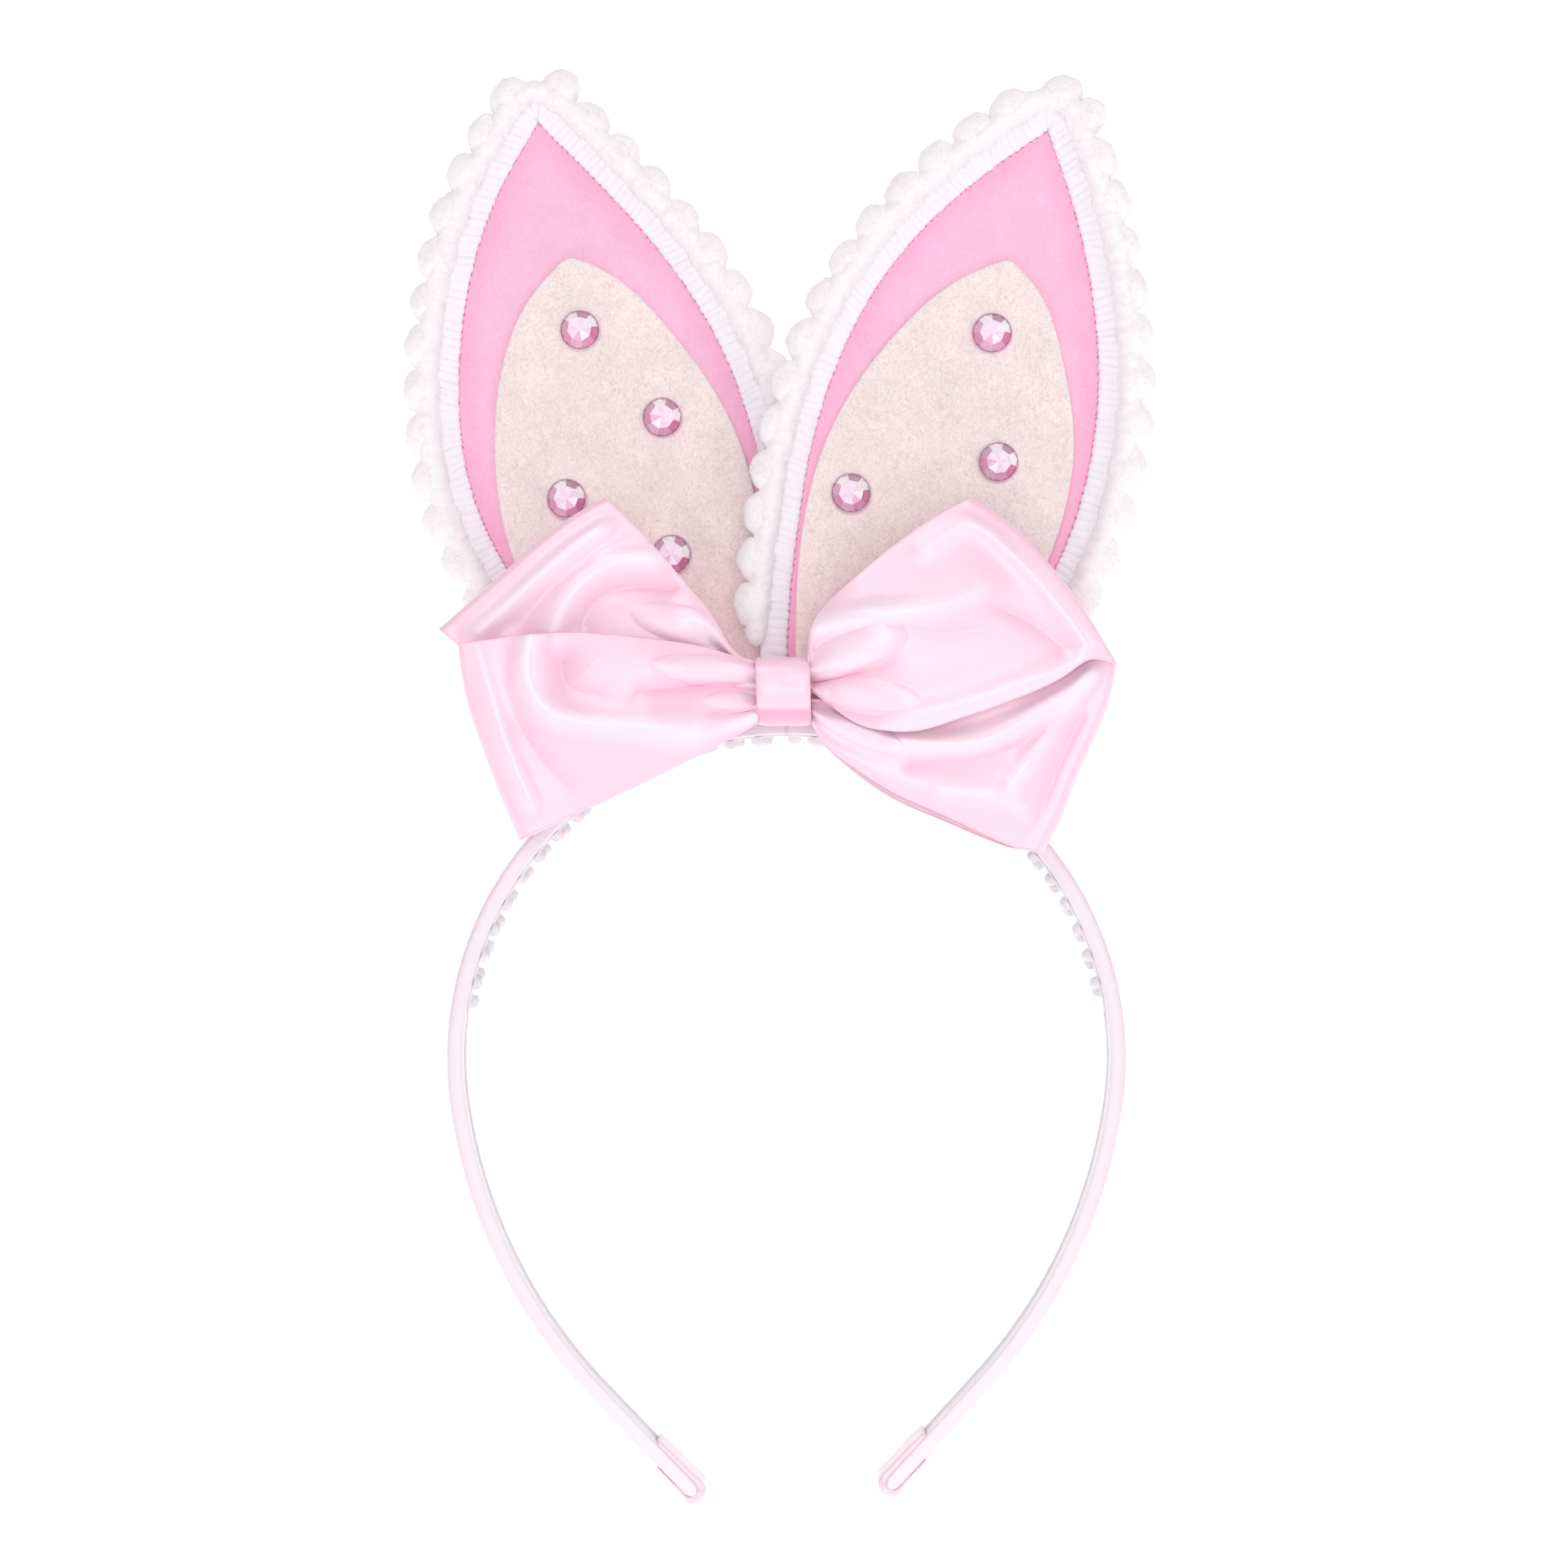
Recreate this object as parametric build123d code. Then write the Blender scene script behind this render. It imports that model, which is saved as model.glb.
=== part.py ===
from build123d import *

import os
from math import cos, pi, radians, sin

# Bunny-ear dress-up headband: a springy satin-covered hoop with an inner comb, two felt ears edged with
# pompom braid and set with stones, and a four-looped satin ribbon bow.
#
# Millimetres. +Z is up, +X is to the right and +Y is to the rear, seen from the front. The origin is on the
# inner face of the hoop at the middle of the crown, where the hoop rests on a head.

# ---- hoop -------------------------------------------------------------------------------------------------
BAND_W = 10.0  # width of the covered hoop, front to back
BAND_T = 3.1  # thickness of the covered hoop
COVER_T = 0.45  # satin with its glue
LIP_IN = 2.6  # half width of the bare strip between the cover's turned-in lips
CROWN_R = 66.0  # outer radius of the round upper hoop
ROUND_DEG = 98.0  # the round part ends here, counted from the crown
LEG_R = 103.0  # outer radius of the slacker lower leg
LEG_DEG = {"left": 35.7, "right": 34.3}
LEG_END = 27.5  # straight end of the leg
FLEX_DEG = 34.0  # the flex line between crown and arm
FLEX_GAP = 0.35
INNER_R = CROWN_R - BAND_T
HOOP_Z = -INNER_R  # height of the crown arc's centre
TAB_LONG = 12.5  # ribbon tab folded over the tip
TAB_OUT_T = 0.45
TAB_IN_T = 1.2
TAB_W = 9.4
TAB_NOSE = 1.6

# ---- comb inside the hoop ---------------------------------------------------------------------------------
COMB_T = 0.8
COMB_W = 5.0
COMB_DEG = 82.0
TOOTH_PITCH_DEG = 5.1
TOOTH_H = 2.0
TOOTH_R = 1.05
TOOTH_TIP_R = 0.5
TOOTH_ROOT = 0.2
TOOTH_ROW_Y = 1.3
TOOTH_STAGGER_DEG = 1.5
TOOTH_CLEAR_DEG = 1.3

# ---- ears: sheets from back to front, placed in Y by the face between stiffener and front felt
EAR_MID_Y = {"left": 3.5, "right": -4.3}
FELT_T = 1.2
STIFF_T = 0.5
INNER_FELT_T = 1.0
BRAID_T = 1.0
FELT_MARGIN = 3.0  # the felt reaches this far under the braid
STIFF_MARGIN = 1.5
BRAID_MARGIN = 3.85  # outer edge of the braid from its inner edge, where the pompoms begin
POM_MARGIN = 7.6
POM_R = 3.7
POM_PITCH = 8.75
# Where each edge's first pompom sits, along the pompoms' line from the end of its turn over the tip, and
# whether one more pompom sits over the tip itself.
POM_FIRST = {"left": {"outer": -0.9, "inner": -1.8}, "right": {"outer": 0.0, "inner": 3.7}}
POM_ON_TIP = {"left": False, "right": True}
LEAN_Z = 7.0  # the ears lean about a line at this height
LEAN_GAP = 2.6  # an ear's loose sheets start this far above the line

# The braid's inner edge, from the tip down each side, as (x, z).
EAR_SIDES = {
    "left": {
        "outer": [
            (-48.7, 120), (-57.4, 104), (-62.2, 88), (-64.2, 65.5),
            (-61.6, 47.5), (-55, 33), (-43, 17), (-31, 3),
        ],
        "inner": [
            (-48.7, 120), (-40.6, 112), (-25.9, 96), (-14.9, 80),
            (-8.1, 64), (-4, 47.5), (-2.2, 30), (-2.2, 3),
        ],
    },
    "right": {
        "outer": [
            (50.6, 117), (55.4, 103), (59, 87), (60.5, 70),
            (57.8, 48), (52, 32), (42.5, 17), (31, 3),
        ],
        "inner": [
            (50.6, 117), (32, 103.3), (18, 87.4), (9.8, 71.7),
            (4.9, 56), (2.2, 40), (0.3, 20), (0.3, 3),
        ],
    },
}
# The pale inner felt, from its rounded top down each side.
PANEL_SIDES = {
    "left": {
        "outer": [
            (-42.8, 94), (-50.7, 85), (-55.7, 72.5), (-57.2, 56.5),
            (-55.1, 39.5), (-48.5, 24), (-32, 6),
        ],
        "inner": [
            (-42.8, 94), (-34.9, 90.6), (-23.7, 80.4), (-14.4, 68),
            (-8.7, 56.5), (-5.5, 42.5), (-5, 6),
        ],
    },
    "right": {
        "outer": [
            (43.4, 92.4), (49.2, 85.5), (53.8, 71.7), (55.8, 57),
            (54.6, 46), (50, 32), (32, 6),
        ],
        "inner": [
            (43.4, 92.4), (33, 88), (22.8, 79.5), (13.2, 67.5),
            (7.2, 56), (3.4, 42), (2, 6),
        ],
    },
}
PANEL_TOP_R = 0.8
BRAID_LOW_Z = {"left": {"outer": 11.0, "inner": 14.0}, "right": {"outer": 11.0, "inner": 15.5}}
STONES = {
    "left": [(-40.4, 79.2), (-24.3, 62.1), (-43.0, 46.2), (-22.5, 35.3)],
    "right": [(39.8, 77.7), (41.0, 52.7), (12.5, 46.7)],
}
STONE_R = 4.0
STONE_RIM_H = 0.5
STONE_H = 2.4
STONE_TABLE_R = 2.1

# ---- felt saddle and glued feet of the ears on the crown --------------------------------------------------
SADDLE_T = 1.0
SADDLE_DEG = 29.0
SADDLE_W = 10.6
FOOT_X = {"left": (-31.0, -2.2), "right": (0.3, 31.0)}
CLEAR = 0.05
BEAD_DEG = (4.0, 24.0)
BEAD_W = 1.2
BEAD_H = 1.4

# ---- bow --------------------------------------------------------------------------------------------------
BOW_X = -0.5
BOW_Z = 8.1
KNOT_W = 10.0
KNOT_H = 12.6
KNOT_R = 1.8
KNOT_FRONT_Y = -17.2
KNOT_BACK_Y = -9.0
WRAP_T = 0.7
THREAD_T = 0.5
THREAD_W = 3.0
PINCH_H = 9.3
PINCH_T = 2.3
PINCH_Y = {"front": -14.4, "rear": -11.8}
MID_AT = 0.55  # where along a loop its fullest section lies
MID_FULL = 1.06  # height there, against a straight taper
LOOP_T = {"front": (6.5, 4.0), "rear": (5.0, 3.6)}  # thickness there and at the loop's end
LOOP_Y = {"front": (-18.6, -18.0), "rear": (-11.4, -11.2)}
# upper and lower corner, as (x, z), of the folded end of each loop
LOOP_ENDS = {
    "front": [((35.7, 45.0), (62.9, 13.0)), ((-62.4, 16.8), (-50.8, -20.3))],
    "rear": [((-35.0, 45.2), (-66.5, 20.2)), ((63.4, 12.9), (49.1, -22.7))],
}
PAD_X = 2.5
PAD_Z = 5.6
PAD_W = 5.0
PAD_H = 2.4


def plate(face, y_front, y_back):
    """A flat sheet from y_front to y_back whose outline is a face drawn in X and Z."""
    return Pos(0, y_back, 0) * Rot(90, 0, 0) * extrude(face, y_back - y_front)


def on_arc(centre, r, deg):
    """The point at radius r about a centre, deg from the top towards +X."""
    return centre[0] + r * sin(radians(deg)), centre[1] + r * cos(radians(deg))


def on_crown(r, deg):
    return on_arc((0, HOOP_Z), r, deg)


def crown_arc(r, a0, a1):
    return ThreePointArc(on_crown(r, a0), on_crown(r, (a0 + a1) / 2), on_crown(r, a1))


def crown_face(r0, r1, a0, a1):
    """The part of the crown's ring between two radii and two angles."""
    ends = [Line(on_crown(r0, a), on_crown(r1, a)) for a in (a0, a1)]
    return make_face([crown_arc(r0, a0, a1), crown_arc(r1, a0, a1), *ends])


def crown_band(r0, r1):
    return crown_face(r0, r1, -FLEX_DEG, FLEX_DEG)


def leg_direction(side):
    """Unit vector down the straight end of a leg drawn on the right."""
    deg = radians(ROUND_DEG + LEG_DEG[side])
    return cos(deg), -sin(deg)


def leg_points(side, r):
    """Middle and end of the leg's arc, and the leg's end, for the crown radius r."""
    centre = on_crown(CROWN_R - LEG_R, ROUND_DEG)
    leg_r = LEG_R - (CROWN_R - r)
    middle = on_arc(centre, leg_r, ROUND_DEG + LEG_DEG[side] / 2)
    bend_end = on_arc(centre, leg_r, ROUND_DEG + LEG_DEG[side])
    tx, tz = leg_direction(side)
    return middle, bend_end, (bend_end[0] + LEG_END * tx, bend_end[1] + LEG_END * tz)


def arm_start():
    return FLEX_DEG + degrees_of(FLEX_GAP)


def degrees_of(length):
    """The angle that a length takes up on the crown's outer radius."""
    return length / CROWN_R * 180 / pi


def arm_face(side, r0, r1):
    """A right-hand arm between two radii, from the flex line to the tip."""
    start = arm_start()
    edges = [Line(on_crown(r0, start), on_crown(r1, start))]
    edges.append(Line(leg_points(side, r0)[2], leg_points(side, r1)[2]))
    for r in (r0, r1):
        middle, bend_end, end = leg_points(side, r)
        edges.append(crown_arc(r, start, ROUND_DEG))
        edges.append(ThreePointArc(on_crown(r, ROUND_DEG), middle, bend_end))
        edges.append(Line(bend_end, end))
    return make_face(edges)


def hoop_core(band):
    """The plastic strip inside the cover; band(r0, r1) draws it between two radii."""
    half = BAND_W / 2 - COVER_T
    return plate(band(INNER_R + COVER_T, CROWN_R - COVER_T), -half, half)


def hoop_cover(band):
    """Satin over the outside and both edges, with its lips turned in."""
    half = BAND_W / 2
    cover = plate(band(CROWN_R - COVER_T, CROWN_R), -half, half)
    for side in (-1, 1):
        edge = sorted((side * half, side * (half - COVER_T)))
        lip = sorted((side * half, side * LIP_IN))
        cover += plate(band(INNER_R, CROWN_R), *edge)
        cover += plate(band(INNER_R, INNER_R + COVER_T), *lip)
    return cover


def comb(a0, a1):
    """Comb strip between two angles, with two rows of pegs that point at the head."""
    top_r = INNER_R + COVER_T
    strip = plate(crown_face(top_r - COMB_T, top_r, a0, a1), -COMB_W / 2, COMB_W / 2)
    peg = Cone(TOOTH_R, TOOTH_TIP_R, TOOTH_H + TOOTH_ROOT, align=(Align.CENTER, Align.CENTER, Align.MIN))
    pegs = []
    count = int(COMB_DEG / TOOTH_PITCH_DEG)
    for k in range(-count, count + 1):
        for row, shift in ((-1, 0.0), (1, TOOTH_STAGGER_DEG)):
            deg = k * TOOTH_PITCH_DEG + shift
            if a0 + TOOTH_CLEAR_DEG < deg < a1 - TOOTH_CLEAR_DEG:
                x, z = on_crown(top_r - COMB_T + TOOTH_ROOT, deg)
                pegs.append(Pos(x, row * TOOTH_ROW_Y, z) * Rot(0, deg + 180, 0) * peg)
    return strip.fuse(*pegs)


def tip_tab(side):
    """Ribbon tab folded round the tip of a right-hand arm, thicker on the inside."""
    low, high = -TAB_IN_T, BAND_T + TAB_OUT_T
    middle = (low + high) / 2
    body = Pos(-TAB_LONG / 2, middle) * Rectangle(TAB_LONG, high - low)
    nose = Pos(0, middle) * Ellipse(TAB_NOSE, (high - low) / 2)
    band = Pos(-TAB_LONG, BAND_T / 2) * Rectangle(2 * TAB_LONG, BAND_T)
    outline = body + nose - band
    tx, tz = leg_direction(side)
    end = leg_points(side, INNER_R)[2]
    on_leg = Plane(origin=(end[0], 0, end[1]), x_dir=(tx, 0, tz), z_dir=(0, -1, 0))
    return extrude(on_leg * outline, TAB_W / 2, both=True)


def offset_side(points, margin, left_edge):
    """A smooth curve at a margin outside one side of a leaf outline."""
    curve = Spline(*points)
    count = 3 * len(points)
    sign = 1 if left_edge else -1
    moved = []
    for k in range(count + 1):
        at, along = curve @ (k / count), curve % (k / count)
        moved.append((at.X + sign * margin * along.Y, at.Y - sign * margin * along.X))
    return Spline(*moved)


def leaf_sides(side, outline, margin):
    """The left and the right edge of a leaf at a margin outside its outline, each from the tip down."""
    left, right = ("outer", "inner") if side == "left" else ("inner", "outer")
    return offset_side(outline[left], margin, True), offset_side(outline[right], margin, False)


def over_tip(outline, margin, curves):
    """The point at a margin outside a leaf's tip, halfway between its two edges."""
    tip = Vector(*outline["outer"][0])
    return tip + ((curves[0] @ 0 + curves[1] @ 0) * 0.5 - tip).normalized() * margin


def leaf(side, outline, margin=0.0):
    """A leaf-shaped face, grown by a margin and rounded over its tip."""
    curves = leaf_sides(side, outline, margin)
    lines = [*curves, Line(curves[0] @ 1, curves[1] @ 1)]
    if margin:
        lines.append(ThreePointArc(curves[0] @ 0, over_tip(outline, margin, curves), curves[1] @ 0))
    return make_face(lines)


def below(side, where, z):
    """A large rectangle below z on the outer or inner half of an ear."""
    middle = sum(FOOT_X[side]) / 2
    shift = -100 if (where == "outer") == (side == "left") else 100
    return Pos(middle + shift, z - 100) * Rectangle(200, 200)


def ear(side):
    """The sheets, trims and stones of one ear, by name."""
    mid = EAR_MID_Y[side]
    front = mid - FELT_T
    outline = EAR_SIDES[side]
    loose = Pos(0, LEAN_Z + LEAN_GAP + 100) * Rectangle(200, 200)
    felt = leaf(side, outline, FELT_MARGIN) & loose
    panel = leaf(side, PANEL_SIDES[side], PANEL_TOP_R) & loose
    stiff = leaf(side, outline, STIFF_MARGIN) & loose
    braid = leaf(side, outline, BRAID_MARGIN) - leaf(side, outline) - panel
    for where, low in BRAID_LOW_Z[side].items():
        braid -= below(side, where, low)
    made = {
        "back_felt": plate(felt, mid + STIFF_T, mid + STIFF_T + FELT_T),
        "stiffener": plate(stiff, mid, mid + STIFF_T),
        "front_felt": plate(felt, front, mid),
        "inner_felt": plate(panel, front - INNER_FELT_T, front),
        "braid": plate(braid, front - BRAID_T, front),
        "pompoms": pompoms(side, front - BRAID_T / 2),
    }
    for number, (x, z) in enumerate(STONES[side], 1):
        made[f"stone_{number}"] = stone(x, front - INNER_FELT_T, z)
    return made


def pompoms(side, y):
    """Balls at an even pitch down both edges of the braid, above its two ends."""
    outline = EAR_SIDES[side]
    curves = leaf_sides(side, outline, POM_MARGIN)
    names = ("outer", "inner") if side == "left" else ("inner", "outer")
    spots = [over_tip(outline, POM_MARGIN, curves)] if POM_ON_TIP[side] else []
    for name, curve in zip(names, curves):
        along = POM_FIRST[side][name]
        while along < curve.length:
            at = curve.position_at(max(along, 0), position_mode=PositionMode.LENGTH)
            if along < 0:
                tip = Vector(*outline[name][0])
                turn = along / POM_MARGIN * 180 / pi * (1 if name == names[0] else -1)
                at = tip + (at - tip).rotate(Axis.Z, turn)
            along += POM_PITCH
            if at.Y > BRAID_LOW_Z[side][name] + POM_R:
                spots.append(at)
    return Compound([Pos(at.X, y, at.Y) * Sphere(POM_R) for at in spots])


def stone(x, y, z):
    """Flat-backed round stone with an eight-sided crown, its back on the plane at y."""
    rim = Cylinder(STONE_R, STONE_RIM_H, align=(Align.CENTER, Align.CENTER, Align.MIN))
    girdle = Pos(0, 0, STONE_RIM_H) * RegularPolygon(STONE_R - 0.15, 8)
    table = Pos(0, 0, STONE_H) * RegularPolygon(STONE_TABLE_R, 8)
    return Pos(x, y, z) * Rot(90, 0, 0) * (rim + loft([girdle, table]))


def saddle():
    """Felt pad glued over the crown, which the ears stand on."""
    face = crown_face(CROWN_R, CROWN_R + SADDLE_T, -SADDLE_DEG, SADDLE_DEG)
    return plate(face, -SADDLE_W / 2, SADDLE_W / 2)


def ear_foot(side):
    """The glued lower end of an ear's sheets, from the saddle up to the lean line."""
    x0, x1 = FOOT_X[side]
    face = Pos((x0 + x1) / 2, LEAN_Z - 10) * Rectangle(x1 - x0, 20)
    face -= Pos(0, HOOP_Z) * Circle(CROWN_R + SADDLE_T + CLEAR)
    mid = EAR_MID_Y[side]
    return plate(face, mid - FELT_T, mid + STIFF_T + FELT_T)


def glue_bead(side):
    """Hot-melt bead along the inner side of an ear's foot, on the saddle."""
    mid = EAR_MID_Y[side]
    near, far = BEAD_DEG
    angles = (-far, -near) if side == "left" else (near, far)
    y = mid - FELT_T - BEAD_W if side == "left" else mid + STIFF_T + FELT_T
    base_r = CROWN_R + SADDLE_T
    return plate(crown_face(base_r, base_r + BEAD_H, *angles), y, y + BEAD_W)


def across(ends, thick, y):
    """A rounded section across a loop, between an upper and a lower point (x, z)."""
    (ax, az), (bx, bz) = ends
    height = Vector(ax - bx, 0, az - bz)
    place = Plane(origin=((ax + bx) / 2, y, (az + bz) / 2), x_dir=height, z_dir=height.cross(Vector(0, 1, 0)))
    return place * RectangleRounded(height.length, thick, thick * 0.35)


def loop(layer, ends):
    """A pinched, puffed loop of ribbon as a plain closed solid."""
    sign = 1 if ends[0][0] + ends[1][0] > 0 else -1
    x = BOW_X + sign * KNOT_W * 0.51
    pinch = ((x, BOW_Z + PINCH_H / 2), (x, BOW_Z - PINCH_H / 2))
    middle = []
    for way, near, far in ((1, pinch[0], ends[0]), (-1, pinch[1], ends[1])):
        mx = near[0] + MID_AT * (far[0] - near[0])
        mz = near[1] + MID_AT * (far[1] - near[1])
        middle.append((mx, mz + way * (MID_FULL - 1) * PINCH_H))
    sections = [
        across(pinch, PINCH_T, PINCH_Y[layer]),
        across(middle, LOOP_T[layer][0], LOOP_Y[layer][0]),
        across(ends, LOOP_T[layer][1], LOOP_Y[layer][1]),
    ]
    return loft(sections, ruled=True)


def ribbon(layer):
    """A length of ribbon that makes two loops on either side of the pinch."""
    knot = Pos(BOW_X, PINCH_Y[layer], BOW_Z) * Box(KNOT_W * 1.04, PINCH_T, PINCH_H)
    first, second = (loop(layer, ends) for ends in LOOP_ENDS[layer])
    return knot + first + second


def ring(width, y_front, y_back, height, wall):
    """A band round the pinch, as a rounded rectangular tube along X."""
    depth = y_back - y_front
    place = Plane(
        origin=(BOW_X - width / 2, (y_front + y_back) / 2, BOW_Z), x_dir=(0, 1, 0), z_dir=(1, 0, 0))
    outer = RectangleRounded(depth, height, KNOT_R)
    inner = RectangleRounded(depth - 2 * wall, height - 2 * wall, KNOT_R - wall)
    return extrude(place * (outer - inner), width)


def thread():
    inset = WRAP_T + CLEAR
    return ring(THREAD_W, KNOT_FRONT_Y + inset, KNOT_BACK_Y - inset, KNOT_H - 2 * inset, THREAD_T)


def glue_pad():
    """Hot-melt pad that holds the bow's knot to the foot of the right ear."""
    front = EAR_MID_Y["right"] - FELT_T
    return Pos(PAD_X, (KNOT_BACK_Y + front) / 2, PAD_Z) * Box(PAD_W, front - KNOT_BACK_Y, PAD_H)


def arm(side):
    """The hoop parts of one arm, drawn on the right and mirrored for the left."""
    drawn = {
        "hoop_arm": hoop_core(lambda r0, r1: arm_face(side, r0, r1)),
        "hoop_cover_arm": hoop_cover(lambda r0, r1: arm_face(side, r0, r1)),
        "comb_arm": comb(arm_start(), COMB_DEG),
        "tip_tab": tip_tab(side),
    }
    if side == "left":
        drawn = {name: mirror(shape, Plane.YZ) for name, shape in drawn.items()}
    return drawn


def build():
    """Every sub-part by node name."""
    parts = {
        "hoop_crown": hoop_core(crown_band),
        "hoop_cover_crown": hoop_cover(crown_band),
        "comb_crown": comb(-FLEX_DEG, FLEX_DEG),
        "crown_felt_saddle": saddle(),
        "bow_front_ribbon": ribbon("front"),
        "bow_rear_ribbon": ribbon("rear"),
        "bow_tie_thread": thread(),
        "bow_centre_wrap": ring(KNOT_W, KNOT_FRONT_Y, KNOT_BACK_Y, KNOT_H, WRAP_T),
        "bow_glue_pad": glue_pad(),
    }
    for side in ("left", "right"):
        for name, shape in arm(side).items():
            parts[f"{name}_{side}"] = shape
        parts[f"ear_{side}_foot"] = ear_foot(side)
        parts[f"glue_bead_{side}"] = glue_bead(side)
        for name, shape in ear(side).items():
            parts[f"ear_{side}_{name}"] = shape
    return parts


def main():
    os.makedirs("parts", exist_ok=True)
    for name, shape in build().items():
        export_step(shape, f"parts/{name}.step")


main()
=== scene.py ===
from math import atan2, cos, pi, radians, sin

import bmesh
import bpy
import numpy as np
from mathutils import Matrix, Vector


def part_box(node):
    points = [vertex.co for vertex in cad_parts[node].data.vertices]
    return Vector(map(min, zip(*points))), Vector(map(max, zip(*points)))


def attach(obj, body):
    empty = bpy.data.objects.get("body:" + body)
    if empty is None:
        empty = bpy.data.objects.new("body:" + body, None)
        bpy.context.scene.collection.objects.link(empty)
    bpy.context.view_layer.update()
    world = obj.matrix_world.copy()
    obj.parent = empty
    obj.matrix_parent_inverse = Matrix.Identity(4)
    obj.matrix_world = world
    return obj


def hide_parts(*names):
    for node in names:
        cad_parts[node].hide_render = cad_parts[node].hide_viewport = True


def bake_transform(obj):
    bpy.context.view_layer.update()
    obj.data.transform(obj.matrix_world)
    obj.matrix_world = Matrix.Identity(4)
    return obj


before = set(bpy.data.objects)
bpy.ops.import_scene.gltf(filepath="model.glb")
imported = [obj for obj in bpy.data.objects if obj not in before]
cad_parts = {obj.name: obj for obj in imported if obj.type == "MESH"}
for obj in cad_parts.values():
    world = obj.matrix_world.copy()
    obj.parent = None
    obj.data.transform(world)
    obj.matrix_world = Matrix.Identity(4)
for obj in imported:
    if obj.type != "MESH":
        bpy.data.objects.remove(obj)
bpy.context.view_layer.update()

# Bunny-ear headband. Shapes are worked out in millimetres in the frame's axes (+X right, +Y rear, +Z up) and
# turned into metres when a mesh is made.

MM = 0.001
SIDES = ("left", "right")
SIGN = {"left": -1, "right": 1}
rng = np.random.default_rng(20761)

# ---- sizes shared with the CAD ----------------------------------------------------------------------------
BAND_W, BAND_T, COVER_T, LIP_IN = 10.0, 3.1, 0.45, 2.6
CROWN_R, ROUND_DEG = 66.0, 98.0
LEG_R, LEG_END = 103.0, 27.5
LEG_DEG = {"left": 35.7, "right": 34.3}
INNER_R = CROWN_R - BAND_T
HOOP_Z = -INNER_R
COMB_DEG, COMB_W, COMB_T = 82.0, 5.0, 0.8
TOOTH_PITCH_DEG, TOOTH_STAGGER_DEG, TOOTH_ROW_Y = 5.1, 1.5, 1.3
NOSE_LONG = 2.0  # stretch over which the hoop's section closes in before a tip
NOSE_CLOSED = 0.94
EAR_MID_Y = {"left": 3.5, "right": -4.3}
FELT_T, STIFF_T, PANEL_T = 1.2, 0.5, 1.0
FELT_MARGIN = 3.0
FOOT_X = {"left": (-31.0, -2.2), "right": (0.3, 31.0)}
SADDLE_R, SADDLE_T, SADDLE_DEG, SADDLE_W = CROWN_R, 1.0, 29.0, 10.6
BRAID_LOW_Z = {"left": {"outer": 11.0, "inner": 14.0}, "right": {"outer": 11.0, "inner": 15.5}}
EAR_SIDES = {
    "left": {
        "outer": [
            (-48.7, 120), (-57.4, 104), (-62.2, 88), (-64.2, 65.5), (-61.6, 47.5), (-55, 33), (-43, 17), (-31, 3)],
        "inner": [
            (-48.7, 120), (-40.6, 112), (-25.9, 96), (-14.9, 80), (-8.1, 64), (-4, 47.5), (-2.2, 30), (-2.2, 3)],
    },
    "right": {
        "outer": [(50.6, 117), (55.4, 103), (59, 87), (60.5, 70), (57.8, 48), (52, 32), (42.5, 17), (31, 3)],
        "inner": [(50.6, 117), (32, 103.3), (18, 87.4), (9.8, 71.7), (4.9, 56), (2.2, 40), (0.3, 20), (0.3, 3)],
    },
}
PANEL_SIDES = {
    "left": {
        "outer": [(-42.8, 94), (-50.7, 85), (-55.7, 72.5), (-57.2, 56.5), (-55.1, 39.5), (-48.5, 24), (-32, 6)],
        "inner": [(-42.8, 94), (-34.9, 90.6), (-23.7, 80.4), (-14.4, 68), (-8.7, 56.5), (-5.5, 42.5), (-5, 6)],
    },
    "right": {
        "outer": [(43.4, 92.4), (49.2, 85.5), (53.8, 71.7), (55.8, 57), (54.6, 46), (50, 32), (32, 6)],
        "inner": [(43.4, 92.4), (33, 88), (22.8, 79.5), (13.2, 67.5), (7.2, 56), (3.4, 42), (2, 6)],
    },
}
EDGE_POINTS = 260
BRAID_W = 5.3
POM_FLAT, POM_WIDE, POM_IN = 0.22, 0.2, 0.1  # shares of a pompom's radius
CHENILLE_AT, CHENILLE_R, CHENILLE_DEEP = 6.1, 2.35, 1.15
FIBRE_W = 0.14


# ---- curves and noise -------------------------------------------------------------------------------------
def spline(points, count):
    """A natural cubic spline through points, sampled at even arc length."""
    p = np.asarray(points, float)
    t = np.concatenate([[0], np.cumsum(np.linalg.norm(np.diff(p, axis=0), axis=1))])
    h = np.diff(t)
    n = len(t)
    a = np.zeros((n, n))
    b = np.zeros((n, p.shape[1]))
    a[0, 0] = a[-1, -1] = 1
    for i in range(1, n - 1):
        a[i, i - 1:i + 2] = h[i - 1], 2 * (h[i - 1] + h[i]), h[i]
        b[i] = 6 * ((p[i + 1] - p[i]) / h[i] - (p[i] - p[i - 1]) / h[i - 1])
    m = np.linalg.solve(a, b)
    x = np.linspace(0, t[-1], 1200)
    k = np.clip(np.searchsorted(t, x, "right") - 1, 0, n - 2)
    u, w = (t[k + 1] - x)[:, None], (x - t[k])[:, None]
    hk = h[k][:, None]
    fine = (m[k] * u ** 3 + m[k + 1] * w ** 3) / (6 * hk)
    fine += (p[k] / hk - m[k] * hk / 6) * u + (p[k + 1] / hk - m[k + 1] * hk / 6) * w
    return resample(fine, count)


def arc_lengths(p):
    return np.concatenate([[0], np.cumsum(np.linalg.norm(np.diff(p, axis=0), axis=1))])


def resample(p, count):
    """The same polyline at an even spacing."""
    return at_lengths(p, np.linspace(0, arc_lengths(p)[-1], count))


def at_lengths(p, s):
    t = arc_lengths(p)
    return np.stack([np.interp(s, t, p[:, i]) for i in range(p.shape[1])], axis=1)


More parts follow.
